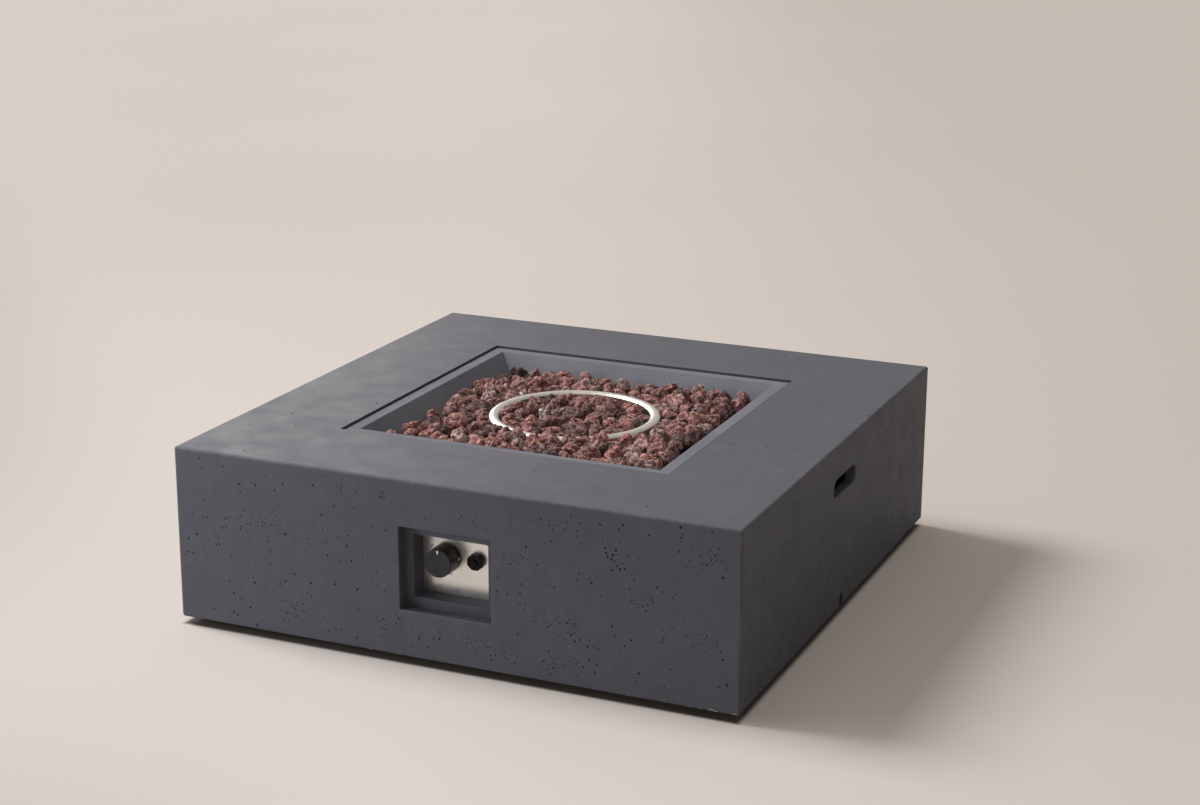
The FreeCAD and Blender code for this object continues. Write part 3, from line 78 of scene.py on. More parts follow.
def cells(tree, per_metre):
    """A pattern of round cells, so many to the metre, that rises from the middle of each."""
    place = tree.nodes.new("ShaderNodeTexCoord")
    pattern = tree.nodes.new("ShaderNodeTexVoronoi")
    pattern.inputs["Scale"].default_value = per_metre
    tree.links.new(place.outputs["Object"], pattern.inputs["Vector"])
    return pattern.outputs["Distance"]


def tones(tree, drive, stops):
    """Colours laid along a pattern: stops are (value of the pattern, colour)."""
    band = tree.nodes.new("ShaderNodeValToRGB")
    ramp = band.color_ramp
    ramp.elements.remove(ramp.elements[1])
    ramp.elements[0].position = stops[0][0]
    for at, _ in stops[1:]:
        ramp.elements.new(at)
    for element, (_, colour) in zip(ramp.elements, stops):
        element.color = (*colour, 1.0)
    tree.links.new(drive, band.inputs["Fac"])
    return band.outputs["Color"]


def mixed(tree, share, first, second, how="MIX"):
    """The second colour laid over the first by a share from 0 to 1."""
    blend = tree.nodes.new("ShaderNodeMix")
    blend.data_type = "RGBA"
    blend.blend_type = how
    blend.inputs["Factor"].default_value = share
    tree.links.new(first, blend.inputs["A"])
    tree.links.new(second, blend.inputs["B"])
    return blend.outputs["Result"]


def relief(tree, shader, layers):
    """Bumps one on another: layers are (pattern, height in metres)."""
    below = None
    for drive, height in layers:
        bump = tree.nodes.new("ShaderNodeBump")
        bump.inputs["Distance"].default_value = height
        tree.links.new(drive, bump.inputs["Height"])
        if below:
            tree.links.new(below, bump.inputs["Normal"])
        below = bump.outputs["Normal"]
    tree.links.new(below, shader.inputs["Normal"])


def sheen_spread(tree, shader, drive, low, high):
    """Roughness that wanders with a pattern between low and high."""
    spread = tree.nodes.new("ShaderNodeMapRange")
    spread.inputs["From Min"].default_value = 0.3
    spread.inputs["From Max"].default_value = 0.7
    spread.inputs["To Min"].default_value = low
    spread.inputs["To Max"].default_value = high
    tree.links.new(drive, spread.inputs["Value"])
    tree.links.new(spread.outputs["Result"], shader.inputs["Roughness"])


def grey(level):
    """A colour of three equal parts."""
    return (level, level, level)


def concrete(name, deep, usual, dusty):
    """Tinted concrete: broad clouds of sealer, runs down the mould, sand grain, and air specks
    painted dark as shade in each tiny hole.
    """
    made, tree, shader = finish(name, roughness=0.66)
    shader.inputs["Specular IOR Level"].default_value = 0.42
    sealer = tones(tree, grain(tree, 0.21, 2.0), [(0.20, deep), (0.52, usual), (0.90, dusty)])
    blotches = grain(tree, 0.022, 4.0, blur=0.62)
    mottle = tones(tree, blotches, [(0.28, deep), (0.5, usual), (0.78, dusty)])
    upright = grain(tree, 0.009, 3.0, stretch=(1.0, 1.0, 5.0))
    runs = tones(tree, upright, [(0.34, deep), (0.5, usual), (0.72, dusty)])
    base = mixed(tree, 0.30, mixed(tree, 0.42, sealer, mottle), runs)
    # Tiny pinholes show as dark specks, a painted shade in each hole.
    speck_shade_stops = [(0.0, grey(0.35)), (0.055, grey(0.42)), (0.1, grey(1.0))]
    specks = tones(tree, cells(tree, 240.0), speck_shade_stops)
    tree.links.new(mixed(tree, 1.0, base, specks, "MULTIPLY"), shader.inputs["Base Color"])
    sheen_spread(tree, shader, grain(tree, 0.05, 3.0), 0.60, 0.70)
    waves, sand = grain(tree, 0.09, 2.0), grain(tree, 0.0016, 3.0)
    relief(tree, shader, [(waves, 0.0006), (sand, 0.00025), (specks, 0.0004)])
    return made


# Deep, usual and dusty tones of each finish.
slate = ((0.055, 0.0555, 0.071), (0.067, 0.0675, 0.0855), (0.083, 0.0825, 0.101))
# The pinhole finish: darker, as painted shade in the pits.
shaded_slate = ((0.026, 0.026, 0.031), (0.038, 0.038, 0.045), (0.056, 0.055, 0.063))
bare_cement = ((0.28, 0.275, 0.27), (0.38, 0.37, 0.36), (0.50, 0.49, 0.47))
# The arris finish: lighter, as rubbed edges and a painted highlight.
worn_and_highlit_slate = ((0.050, 0.050, 0.062), (0.071, 0.071, 0.087), (0.118, 0.116, 0.132))
casting_finishes = (
    concrete("casting_concrete", *slate),
    concrete("pinhole_shaded_concrete", *shaded_slate),
    concrete("chipped_concrete", *bare_cement),
    concrete("casting_highlit_arris", *worn_and_highlit_slate),
)
plain, pit, chipped, highlit_arris = range(len(casting_finishes))


def welded(node):
    """A CAD node's faces as one closed skin, flat areas merged."""
    source = nodes[node].data
    skin = bmesh.new()
    skin.from_mesh(source)
    bmesh.ops.remove_doubles(skin, verts=skin.verts, dist=1e-6)
    flat = math.radians(0.2)
    bmesh.ops.dissolve_limit(
        skin, angle_limit=flat, verts=skin.verts, edges=skin.edges, delimit={"NORMAL"}
    )
    clean = bpy.data.meshes.new(node + "_skin")
    corners = [v.co.copy() for v in skin.verts]
    skin.verts.index_update()
    clean.from_pydata(corners, [], [[v.index for v in f.verts] for f in skin.faces])
    skin.free()
    return clean


def shade_by_angle(mesh, degrees):
    """Smooth shading with every edge sharper than the angle kept crisp."""
    sharp = math.radians(degrees)
    skin = bmesh.new()
    skin.from_mesh(mesh)
    for face in skin.faces:
        face.smooth = True
    for edge in skin.edges:
        edge.smooth = len(edge.link_faces) == 2 and edge.calc_face_angle(0) < sharp
    skin.to_mesh(mesh)
    skin.free()


def show(name, mesh, body, *materials):
    """Puts a finished mesh in the scene as a piece that moves with a body."""
    piece = bpy.data.objects.new(name, mesh)
    bpy.context.scene.collection.objects.link(piece)
    for made in materials:
        mesh.materials.append(made)
    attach(piece, body)
    return piece


def worked_out(piece):
    """Applies what the piece's modifiers do and leaves none on it."""
    bpy.context.view_layer.update()
    seen = piece.evaluated_get(bpy.context.evaluated_depsgraph_get())
    result = bpy.data.meshes.new_from_object(seen)
    piece.modifiers.clear()
    piece.data = result


casting_low, casting_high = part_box("table_shell")
side_half = casting_high.x

# Each outer face: the way it looks, the way across it, and how many pinholes are strewn on it.
outer_faces = (
    (Vector((0, -1, 0)), Vector((1, 0, 0)), 640),
    (Vector((1, 0, 0)), Vector((0, 1, 0)), 620),
    (Vector((0, 1, 0)), Vector((-1, 0, 0)), 380),
    (Vector((-1, 0, 0)), Vector((0, -1, 0)), 380),
    (Vector((0, 0, 1)), Vector((1, 0, 0)), 150),
)

# Where air gathered on the front face, as (across, height): slanting trails and looser clouds.
trails = ((0.2642, 0.2116), (0.2087, 0.0902))
clouds_of_air = (
    (-0.241, 0.060), (-0.087, 0.062), (0.040, 0.056), (0.087, 0.041), (0.181, 0.042),
    (0.158, 0.106), (0.302, 0.159), (0.120, 0.190), (0.391, 0.115), (-0.322, 0.185),
    (0.389, 0.231), (0.181, 0.251),
)
bubbles_per_trail, bubbles_per_cloud = 90, 22
bubble_reach = 0.44  # how far from a face's middle a bubble may lie
bubble_edge_room = 0.008
bubble_spacing = 1.7  # in radii of the two together
smallest_bubble = 0.0005
bubble_range = 0.0015

# What the bubbles keep clear of, beside the edges.
pan_room = 0.277
recess_half_width, recess_low, recess_high = 0.079, 0.076, 0.219
slot_half_width, slot_middle, slot_half_height = 0.062, 0.214, 0.022
notch_half_width, notch_top = 0.014, 0.040

big_knocks = ((0.410, 0.0052), (0.4438, 0.0048), (0.392, 0.0028))  # along the front, radius
big_knock_lift = 0.0005
small_knocks_per_side = 26
knock_reach = 0.43
knock_radii = (0.0012, 0.0026)
knock_roughness = 0.35
knock_lumps_per_metre = 700


def knock_cutter(luck):
    """The knocks along the casting's lower arrises, as rough blobs."""
    foot = casting_low.z
    knocks = [(x, -side_half, foot + big_knock_lift, radius) for x, radius in big_knocks]
    for _ in range(small_knocks_per_side):
        along = luck.uniform(-knock_reach, knock_reach)
        knocks.append((along, -side_half, foot, luck.uniform(*knock_radii)))
        along = luck.uniform(-knock_reach, knock_reach)
        knocks.append((side_half, along, foot, luck.uniform(*knock_radii)))
    cutter = bmesh.new()
    for x, y, z, radius in knocks:
        shape = Matrix.Diagonal((luck.uniform(1.2, 2.1), 0.9, 0.8, 1.0))
        place = Matrix.Translation((x, y, z)) @ shape
        ball = bmesh.ops.create_icosphere(cutter, subdivisions=2, radius=radius, matrix=place)
        for corner in ball["verts"]:
            lumps = noise.noise_vector(corner.co * knock_lumps_per_metre)
            corner.co += lumps * radius * knock_roughness
    for face in cutter.faces:
        face.material_index = chipped
    mesh = bpy.data.meshes.new("knocks")
    cutter.to_mesh(mesh)
    cutter.free()
    return mesh


def clear_of_openings(out, across, height):
    """True where an outer face has room for a bubble, away from recess, slot, notch and pan."""
    if out.z:
        return max(abs(across), abs(height)) > pan_room
    if out.y < 0:
        return not (abs(across) < recess_half_width and recess_low < height < recess_high)
    if out.x:
        in_slot = abs(across) < slot_half_width and abs(height - slot_middle) < slot_half_height
        in_notch = out.x > 0 and abs(across) < notch_half_width and height < notch_top
        return not (in_slot or in_notch)
    return True


def bubbles_in(out, count, luck):
    """Bubbles of one outer face, clear of each other: (place across, height, radius)."""
    found = []

    def try_one(across, height, radius):
        """Keeps a bubble where the face and the bubbles found so far have room for it."""
        for x, z, other in found:
            if math.hypot(across - x, height - z) <= (radius + other) * bubble_spacing:
                return
        if clear_of_openings(out, across, height):
            found.append((across, height, radius))

    low, high = casting_low.z + bubble_edge_room, casting_high.z - bubble_edge_room
    if out.z:
        low, high = -bubble_reach, bubble_reach
    if out.y < 0:
        for across, height in trails:
            for _ in range(bubbles_per_trail):
                lean = luck.gauss(0, 0.009)
                x = across + 0.6 * lean + luck.gauss(0, 0.004)
                try_one(x, height - lean + luck.gauss(0, 0.003), luck.uniform(0.0006, 0.0021))
        for across, height in clouds_of_air:
            for _ in range(bubbles_per_cloud):
                x = across + luck.gauss(0, 0.017)
                try_one(x, height + luck.gauss(0, 0.008), luck.uniform(0.0006, 0.0015))
    for _ in range(count):
        x, z = luck.uniform(-bubble_reach, bubble_reach), luck.uniform(low, high)
        try_one(x, z, smallest_bubble + bubble_range * luck.random() ** 2.3)
    return found


def loops_of(edges):
    """Closed runs of corners along a set of edges, the longest way round first."""
    beside = {}
    for edge in edges:
        for here, there in (edge.verts, reversed(edge.verts)):
            beside.setdefault(here, []).append(there)
    loops, done = [], set()
    for start in beside:
        if start in done:
            continue
        loop, step = [start], start
        while step:
            done.add(step)
            step = next((v for v in beside[step] if v not in done), None)
            if step:
                loop.append(step)
        loops.append(loop)

    def length_of(loop):
        """The way along a run of corners."""
        return sum((a.co - b.co).length for a, b in zip(loop, loop[1:]))

    return sorted(loops, key=length_of, reverse=True)


def sink_bowl(skin, ring, out, radius, luck):
    """A rough round pit below a ring of corners, its lip in the lighter arris finish (rubbed, and a
    painted highlight) and its depth in the darker pinhole finish as painted shade.
    """
    centre = sum((v.co for v in ring), Vector()) / len(ring)
    depth = radius * luck.uniform(0.9, 1.5)
    steps = ((0.90, 0.30), (0.66, 0.78)) if len(ring) > 6 else ((0.74, 0.50),)
    for number, (share, fall) in enumerate(steps):
        lower = []
        for corner in ring:
            reach = (corner.co - centre) - out * (corner.co - centre).dot(out)
            inward = reach * share * luck.uniform(0.9, 1.08)
            lower.append(skin.verts.new(centre + inward - out * depth * fall))
        for i, corner in enumerate(ring):
            follow = (i + 1) % len(ring)
            band = skin.faces.new((corner, ring[follow], lower[follow], lower[i]))
            band.material_index = pit if number else highlit_arris
        ring = lower
    floor_corner = skin.verts.new(centre - out * depth)
    for i, corner in enumerate(ring):
        skin.faces.new((corner, ring[(i + 1) % len(ring)], floor_corner)).material_index = pit


def outline_of(across, height, radius, luck):
    """The corners of one bubble's uneven rim, more of them on a larger bubble."""
    sides = 6 if radius < 0.0008 else 8 if radius < 0.0013 else 12
    wide, tall = luck.uniform(0.80, 1.15), luck.uniform(0.90, 1.30)
    lean = luck.uniform(-0.5, 0.5)
    corners = []
    for step in range(sides):
        turn = math.tau * step / sides
        reach = radius * luck.uniform(0.84, 1.12)
        spot = Vector((reach * wide * math.cos(turn), reach * tall * math.sin(turn)))
        corners.append(Vector((across, height)) + Matrix.Rotation(lean, 2) @ spot)
    return corners


def pierce(skin, out, side, bubbles, luck):
    """Recuts one flat outer face round its bubbles and sinks a pit at each."""
    up = out.cross(side)
    level = max(v.co.dot(out) for v in skin.verts)

    def lies_flat(face):
        """True for a face that lies in the plane of the outer face."""
        return face.normal.dot(out) > 0.9999 and abs(face.verts[0].co.dot(out) - level) < 1e-6

    flat = [face for face in skin.faces if lies_flat(face)]
    in_face = set(flat)
    rim = [e for e in skin.edges if sum(f in in_face for f in e.link_faces) == 1]
    loops = loops_of(rim)
    corners = [v for loop in loops for v in loop]
    points = [Vector((v.co.dot(side), v.co.dot(up))) for v in corners]
    number = {v: i for i, v in enumerate(corners)}
    borders = [(number[e.verts[0]], number[e.verts[1]]) for e in rim]
    left_open = []
    for loop in loops[1:]:
        places = [points[number[v]] for v in loop]
        turned = sum(a.cross(b) for a, b in zip(places, places[1:] + places[:1])) < 0
        left_open.append([number[v] for v in (reversed(loop) if turned else loop)])
    rings = []
    for across, height, radius in bubbles:
        outline = outline_of(across, height, radius, luck)
        rings.append(list(range(len(points), len(points) + len(outline))))
        points += outline
    spots, _, triangles, sources, _, insides = delaunay_2d_cdt(
        points, borders, left_open + rings, 1, 1e-7
    )
    bmesh.ops.delete(skin, geom=flat, context="FACES")
    made = []
    for spot, origins in zip(spots, sources):
        known = [i for i in origins if i < len(corners)]
        place = out * level + side * spot.x + up * spot.y
        made.append(corners[known[0]] if known else skin.verts.new(place))
    for triangle, inside in zip(triangles, insides):
        if not inside:
            skin.faces.new([made[i] for i in triangle])
    at = {origin: made[i] for i, origins in enumerate(sources) for origin in origins}
    for ring, (_, _, radius) in zip(rings, bubbles):
        sink_bowl(skin, [at[i] for i in ring], out, radius, luck)


casting = show("casting", welded("table_shell"), "table", *casting_finishes)
air_luck = random.Random(4)
noise.seed_set(4)  # else the knocks' lumps would come out differently in each run
knocks = bpy.data.objects.new("knocks", knock_cutter(air_luck))
bpy.context.scene.collection.objects.link(knocks)
for made in casting_finishes:
    knocks.data.materials.append(made)
chip = casting.modifiers.new("chip", "BOOLEAN")
chip.operation = "DIFFERENCE"
chip.solver = "EXACT"
chip.material_mode = "TRANSFER"
chip.use_self = True
chip.object = knocks
worked_out(casting)
bpy.data.objects.remove(knocks)
skin = bmesh.new()
skin.from_mesh(casting.data)
for out, side, count in outer_faces:
    pierce(skin, out, side, bubbles_in(out, count, air_luck), air_luck)
skin.to_mesh(casting.data)
skin.free()
# Faces that round the arrises take the lighter arris finish: rubbed edges and a painted highlight.
for face in casting.data.polygons:
    if face.material_index == plain and max(abs(c) for c in face.normal) < 0.999:
        face.material_index = highlit_arris
shade_by_angle(casting.data, degrees=32)
casting.modifiers.new("even_light", "WEIGHTED_NORMAL").keep_sharp = True
worked_out(casting)
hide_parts("table_shell")

# ---- Feet and their screws -----------------------------------------------------------------------
# Four round rubber pads, moulded with a sunk middle, so that the screw head never touches the
# ground. Each pad is held by one zinc-plated pan-head screw into the casting's solid corner.


def coated(name, roughness, clouds, colours, skin, metallic=0.0, specular=0.5, sheen=None):
    """A plain finish: clouds are (size, detail) of the pattern that its colours follow, skin is
    (size, detail, height) of a fine relief, and sheen is (size, low, high) of its roughness."""
    made, tree, shader = finish(name, roughness, metallic)
    shader.inputs["Specular IOR Level"].default_value = specular
    tree.links.new(tones(tree, grain(tree, *clouds), colours), shader.inputs["Base Color"])
    size, detail, height = skin
    relief(tree, shader, [(grain(tree, size, detail), height)])
    if sheen:
        size, low, high = sheen
        sheen_spread(tree, shader, grain(tree, size, 3.0), low, high)
    return made


def dress(made, *names):
    """Gives CAD pieces a finish, in place of the plain one they come with."""
    for name in names:
        nodes[name].data.materials.clear()
        nodes[name].data.materials.append(made)


foot_rubber = coated(
    "foot_rubber",
    roughness=0.8,
    clouds=(0.006, 4.0),
    colours=[(0.3, (0.012, 0.012, 0.012)), (0.75, (0.034, 0.032, 0.030))],
    skin=(0.0012, 2.0, 0.00015),
)
dress(foot_rubber, *[name for name in nodes if name.startswith("rubber_foot")])

zinc = coated(
    "zinc",
    roughness=0.34,
    clouds=(0.004, 2.0),
    colours=[(0.3, (0.50, 0.51, 0.53)), (0.7, (0.66, 0.67, 0.68))],
    skin=(0.0008, 2.0, 0.00003),
    metallic=1.0,
    sheen=(0.003, 0.26, 0.46),
)
dress(zinc, "foot_screws", "plate_screws", "valve_screws", "bracket_screws", "shield_screws")
dress(zinc, "bracket_nuts", "burner_lock_nuts", "sensor_bracket", "heat_shield")
dress(zinc, "air_shutter", "shutter_screw")

# ---- Burner pan ----------------------------------------------------------------------------------
# A square tray folded from 1.5 mm steel with walls that lean in, its corners welded and ground,
# and its flange resting on the casting's ledge. All of it is powder coated a matt slate grey.

pan_coat, tree, shader = finish("pan_coat", roughness=0.75)
shader.inputs["Specular IOR Level"].default_value = 0.06
wash_stops = [(0.3, (0.166, 0.169, 0.196)), (0.7, (0.203, 0.206, 0.235))]
wash = tones(tree, grain(tree, 0.11, 2.0), wash_stops)
fleck = tones(tree, grain(tree, 0.0011, 2.0), [(0.35, grey(0.86)), (0.65, grey(1.0))])
tree.links.new(mixed(tree, 1.0, wash, fleck, "MULTIPLY"), shader.inputs["Base Color"])
sheen_spread(tree, shader, grain(tree, 0.04, 3.0), 0.70, 0.80)
relief(tree, shader, [(grain(tree, 0.0014, 2.0), 0.00006), (grain(tree, 0.12, 1.0), 0.0006)])
dress(pan_coat, "burner_pan")

# ---- Ring burner ---------------------------------------------------------------------------------
# Two pressed half shells of stainless steel, the upper rolled over the lower at the sides. The
# ring stands on a cross tube that feeds it, and the tube's hub takes the pipe from below.


def stainless(name, dark, bright, low, high, brushed):
    """Stainless steel with fine brushing along the longer side of the stretch."""
    made, tree, shader = finish(name, roughness=0.3, metallic=1.0)
    brush = grain(tree, 0.0009, 3.0, brushed)
    tree.links.new(tones(tree, brush, [(0.3, dark), (0.7, bright)]), shader.inputs["Base Color"])
    sheen_spread(tree, shader, grain(tree, 0.02, 3.0), low, high)
    relief(tree, shader, [(brush, 0.00002)])
    return made


warm_steel = ((0.58, 0.56, 0.52), (0.72, 0.70, 0.66))
ring_steel = stainless(
    "ring_steel", *warm_steel, low=0.27, high=0.40, brushed=(4.0, 4.0, 1.0)
)
dress(ring_steel, "burner_ring", "burner_cross_tube", "flame_sensor", "spark_rod", "mixer_tube")

# ---- Lava rock -----------------------------------------------------------------------------------
# Crushed volcanic rock, 20 to 35 mm, red-brown to grey, full of gas pores. It is poured loose
# into the pan round the burner, heaped in the middle and a little over the ring at the front.

# A stone's tint, and the colour that goes with it.
rock_kinds = [
    (0.00, (0.160, 0.108, 0.102)),
    (0.22, (0.300, 0.196, 0.186)),
    (0.45, (0.450, 0.262, 0.244)),
    (0.68, (0.560, 0.270, 0.240)),
    (0.84, (0.600, 0.390, 0.364)),
    (0.96, (0.520, 0.430, 0.412)),
    (1.00, (0.780, 0.760, 0.720)),
]


def lava_rock():
    """Scoria: each stone has a tint of its own; its gas pores are painted dark as shade, its ridges
    lighter and hollows darker as painted light and shade.
    """
    made, tree, shader = finish("lava_rock", roughness=0.93)
    shader.inputs["Specular IOR Level"].default_value = 0.2
    own = tree.nodes.new("ShaderNodeAttribute")
    own.attribute_name = "tint"
    kinds = tones(tree, own.outputs["Fac"], rock_kinds)
    bloom_stops = [(0.36, (0.25, 0.21, 0.21)), (0.64, (1.48, 1.44, 1.42))]
    bloom = tones(tree, grain(tree, 0.009, 5.0, blur=0.72), bloom_stops)
    stone = mixed(tree, 1.0, kinds, bloom, "MULTIPLY")
    # Pointiness paints ridges lighter and hollows darker: painted light and shade.
    form = tree.nodes.new("ShaderNodeNewGeometry")
    curvature_light_and_shade_stops = [(0.42, grey(0.40)), (0.50, grey(0.95)), (0.58, grey(1.35))]
    curvature_light_and_shade = tones(tree, form.outputs["Pointiness"], curvature_light_and_shade_stops)
    stone = mixed(tree, 1.0, stone, curvature_light_and_shade, "MULTIPLY")
    hollows = []
    # Gas pores are drawn dark, a painted shade in each pore, and also sunk as bumps.
    for cells_per_metre, pore, rim in ((330.0, 0.16, 0.46), (720.0, 0.14, 0.42)):
        pores = tones(tree, cells(tree, cells_per_metre), [(pore, grey(0.07)), (rim, grey(1.0))])
        hollows.append(pores)
        stone = mixed(tree, 1.0, stone, pores, "MULTIPLY")
    tree.links.new(stone, shader.inputs["Base Color"])
    crust = grain(tree, 0.0026, 5.0, blur=0.75)
    relief(tree, shader, [(crust, 0.0022), (hollows[0], 0.0012), (hollows[1], 0.0006)])
    return made


rock_finish = lava_rock()
fill_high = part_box("lava_rock_fill")[1]
fill_top, bed_half = fill_high.z, fill_high.x
ring_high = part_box("burner_ring")[1]
ring_crown, ring_outer = ring_high.z, ring_high.x
ring_band = 0.0155
ring_inner = ring_outer - ring_band
ring_middle = (ring_outer + ring_inner) / 2


def ball_of(steps):
    """Directions and faces of an even ball, to be pushed into the shape of a stone."""
    ball = bmesh.new()
    bmesh.ops.create_icosphere(ball, subdivisions=steps, radius=1.0)
    ways = numpy.array([v.co.normalized() for v in ball.verts])
    faces = numpy.array([[v.index for v in f.verts] for f in ball.faces])
    ball.free()
    return ways, faces


def ways_about(luck, count):
    """Directions at random, evenly spread over a ball."""
    ways = luck.normal(size=(count, 3))
    return ways / numpy.linalg.norm(ways, axis=1, keepdims=True)


flat_breaks = 12
break_crispness = 11
longest_reach = 1.16
knob_count = 26
bowl_count = 60
bowl_depth = 0.62


def stone_corners(ways, centre, size, luck):
    """A chunk split along flat breaks, its knobbly skin eaten by gas pores and left crumbly."""
    breaks = ways_about(luck, flat_breaks) / luck.uniform(0.72, 1.0, (flat_breaks, 1))
    wear = (numpy.maximum(0.0, ways @ breaks.T) ** break_crispness).sum(axis=1)
    reach = numpy.maximum(wear, 1e-4) ** (-1 / break_crispness)
    reach = numpy.minimum(longest_reach, reach)
    tightness = luck.uniform(9, 26, knob_count)
    knobs = numpy.exp(tightness * (ways @ ways_about(luck, knob_count).T - 1))
    reach += knobs @ luck.uniform(-0.15, 0.17, knob_count)
    wide = luck.uniform(0.10, 0.34, bowl_count)
    apart = numpy.arccos(numpy.clip(ways @ ways_about(luck, bowl_count).T, -1, 1))
    bowls = numpy.maximum(0.0, 1 - (apart / wide) ** 2) * wide * bowl_depth
    reach -= bowls.max(axis=1)
    reach += luck.uniform(-0.040, 0.040, len(ways))
    turn = luck.uniform(0, math.tau)
    turned = numpy.array(Matrix.Rotation(turn, 3, Vector(ways_about(luck, 1)[0])))
    stretch = luck.uniform((0.92, 0.82, 0.76), (1.24, 1.06, 1.0))
    return centre + (ways * reach[:, None] * stretch * size) @ turned


below_table_top = 0.002


def heap(name, stones, steps, luck):
    """One piece of many stones: stones are (centre, half width, tint)."""
    ways, ball_faces = ball_of(steps)
    corners = [stone_corners(ways, numpy.array(centre), size, luck) for centre, size, _ in stones]
    for stone in corners:
        stone[:, 2] -= max(0.0, stone[:, 2].max() - casting_high.z + below_table_top)
    faces = [ball_faces + len(ways) * i for i in range(len(stones))]
    mesh = bpy.data.meshes.new(name)
    mesh.from_pydata(numpy.concatenate(corners), [], numpy.concatenate(faces))
    own = mesh.attributes.new("tint", "FLOAT", "POINT")
    own.data.foreach_set("value", numpy.repeat([tint for _, _, tint in stones], len(ways)))
    shade_by_angle(mesh, degrees=55)
    piece = show(name, mesh, "table", rock_finish)
    return piece


def tops_of_solids():
    """Middle and top of each loose stone that the CAD heap has."""
    source = nodes["lava_rocks"].data
    skin = bmesh.new()
    skin.from_mesh(source)
    bmesh.ops.remove_doubles(skin, verts=skin.verts, dist=1e-6)
    left = set(skin.verts)
    found = []
    while left:
        island, reach = set(), [left.pop()]
        while reach:
            corner = reach.pop()
            island.add(corner)
            for edge in corner.link_edges:
                other = edge.other_vert(corner)
                if other in left:
                    left.remove(other)
                    reach.append(other)
        xs = [v.co.x for v in island]
        ys = [v.co.y for v in island]
        top = max(v.co.z for v in island)
        found.append(((min(xs) + max(xs)) / 2, (min(ys) + max(ys)) / 2, top))
    skin.free()
    return sorted(found)


heap_tops = tops_of_solids()


def heap_top(x, y):
    """Height of the heap here, from the stones of the CAD heap that lie nearest."""
    near = sorted((math.hypot(x - sx, y - sy), top) for sx, sy, top in heap_tops)[:4]
    return sum(top for _, top in near) / len(near)


def tint_of(luck):
    """Most stones are red-brown or grey-brown, a few pinkish and fewer nearly black."""
    return min(0.88, max(0.0, luck.gauss(0.48, 0.24)))


probes = [(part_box(name)[0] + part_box(name)[1]) / 2 for name in ("electrode", "flame_sensor")]
spark_gap = probes[0].xy + Vector((0.008, -0.014))
ring_room = 0.008
probe_room = 0.004


def room_at_burner(x, y, size):
    """True where a stone of this size lies clear of the ring, the probes and the spark gap."""
    away = abs(math.hypot(x, y) - ring_middle)
    near = min(math.hypot(x - probe.x, y - probe.y) for probe in probes)
    at_gap = math.hypot(x - spark_gap.x, y - spark_gap.y)
    clear_of_probes = near > probe_room + 0.85 * size and at_gap > probe_room + size
    return away > ring_room + 0.86 * size and clear_of_probes


def room_at_wall(place, size):
    """True where a stone lies inside the pan's walls, which lean out by 45 degrees."""
    wall = bed_half + place.z - fill_top
    return wall - max(abs(place.x), abs(place.y)) > 1.3 * size


to_front = (0.40, -0.92)
front_width = 0.84
beside_ring = 0.046


def below_ring(x, y, z, size):
    """Height of a stone beside the ring, kept from hiding the tube except along the front."""
    away = math.hypot(x, y) - ring_middle
    at_front = to_front[0] * x + to_front[1] * y > front_width * math.hypot(x, y)
    if at_front or abs(away) > beside_ring:
        return z
    return min(z, ring_crown + 0.001 - 0.92 * size)


drops = 9000
largest_stone = 0.0172
stone_range = 0.0078
closeness = 0.80  # in half widths of the two together
sunk_share = 0.80


def poured(count, luck):
    """Stones dropped at random, big ones first, each where it has room beside the others."""
    laid = []
    for drop in range(count):
        size = largest_stone - stone_range * (drop / count) ** 0.6 + luck.uniform(-0.0008, 0.0008)
        x, y = luck.uniform(-bed_half, bed_half), luck.uniform(-bed_half, bed_half)
        if not room_at_burner(x, y, size):
            continue
        if any(math.hypot(x - at.x, y - at.y) < closeness * (size + r) for at, r in laid):
            continue
        z = heap_top(x, y) + 0.002 - size * sunk_share + luck.uniform(-0.004, 0.003)
        place = Vector((x, y, below_ring(x, y, z, size)))
        if room_at_wall(place, size):
            laid.append((place, size))
    return laid


pour_luck = random.Random(21)
inner_stones, left_stones, right_stones = [], [], []
for place, size in poured(drops, pour_luck):
    stone = (place, size, tint_of(pour_luck))
    if place.xy.length < ring_inner:
        inner_stones.append(stone)
    else:
        (left_stones if place.x < 0 else right_stones).append(stone)

bed_rows = 19
bed_pitch = 0.0222
bed_jitter = 0.004
bed_stone = 0.0122
# Bed stones in the gaps below the heap get darker tints: painted shade.
bed_painted_shade = 0.45
gap_reach, gap_depth = 0.024, 0.010
bed_stones = []
for row in range(bed_rows):
    for column in range(bed_rows):
        x, y = [
            (step - (bed_rows - 1) / 2) * bed_pitch + pour_luck.uniform(-bed_jitter, bed_jitter)
            for step in (column, row)
        ]
        place = Vector((x, y, fill_top + pour_luck.uniform(-0.003, 0.004)))
        if (place.xy - spark_gap).length < gap_reach:
            place.z -= gap_depth
        if room_at_wall(place, bed_stone):
            bed_stones.append((place, bed_stone, tint_of(pour_luck) * bed_painted_shade))

# Stones that lie over the front of the ring, and two small pale ones in the heap.
along_ring_front = (-0.075, -0.052, -0.028, -0.004, 0.020, 0.050, 0.072, 0.094)
before_ring = 0.011
for x in along_ring_front:
    y = -math.sqrt(ring_outer**2 - x * x) - before_ring
    centre = Vector((x, y, ring_crown + pour_luck.uniform(-0.007, 0.001)))
    stone = (centre, pour_luck.uniform(0.011, 0.0145), tint_of(pour_luck))
    (left_stones if x < 0 else right_stones).append(stone)
palest = 1.0
right_stones.append((Vector((0.173, 0.075, ring_crown + 0.001)), 0.007, palest))
left_stones.append((Vector((-0.168, 0.045, ring_crown - 0.001)), 0.006, palest))

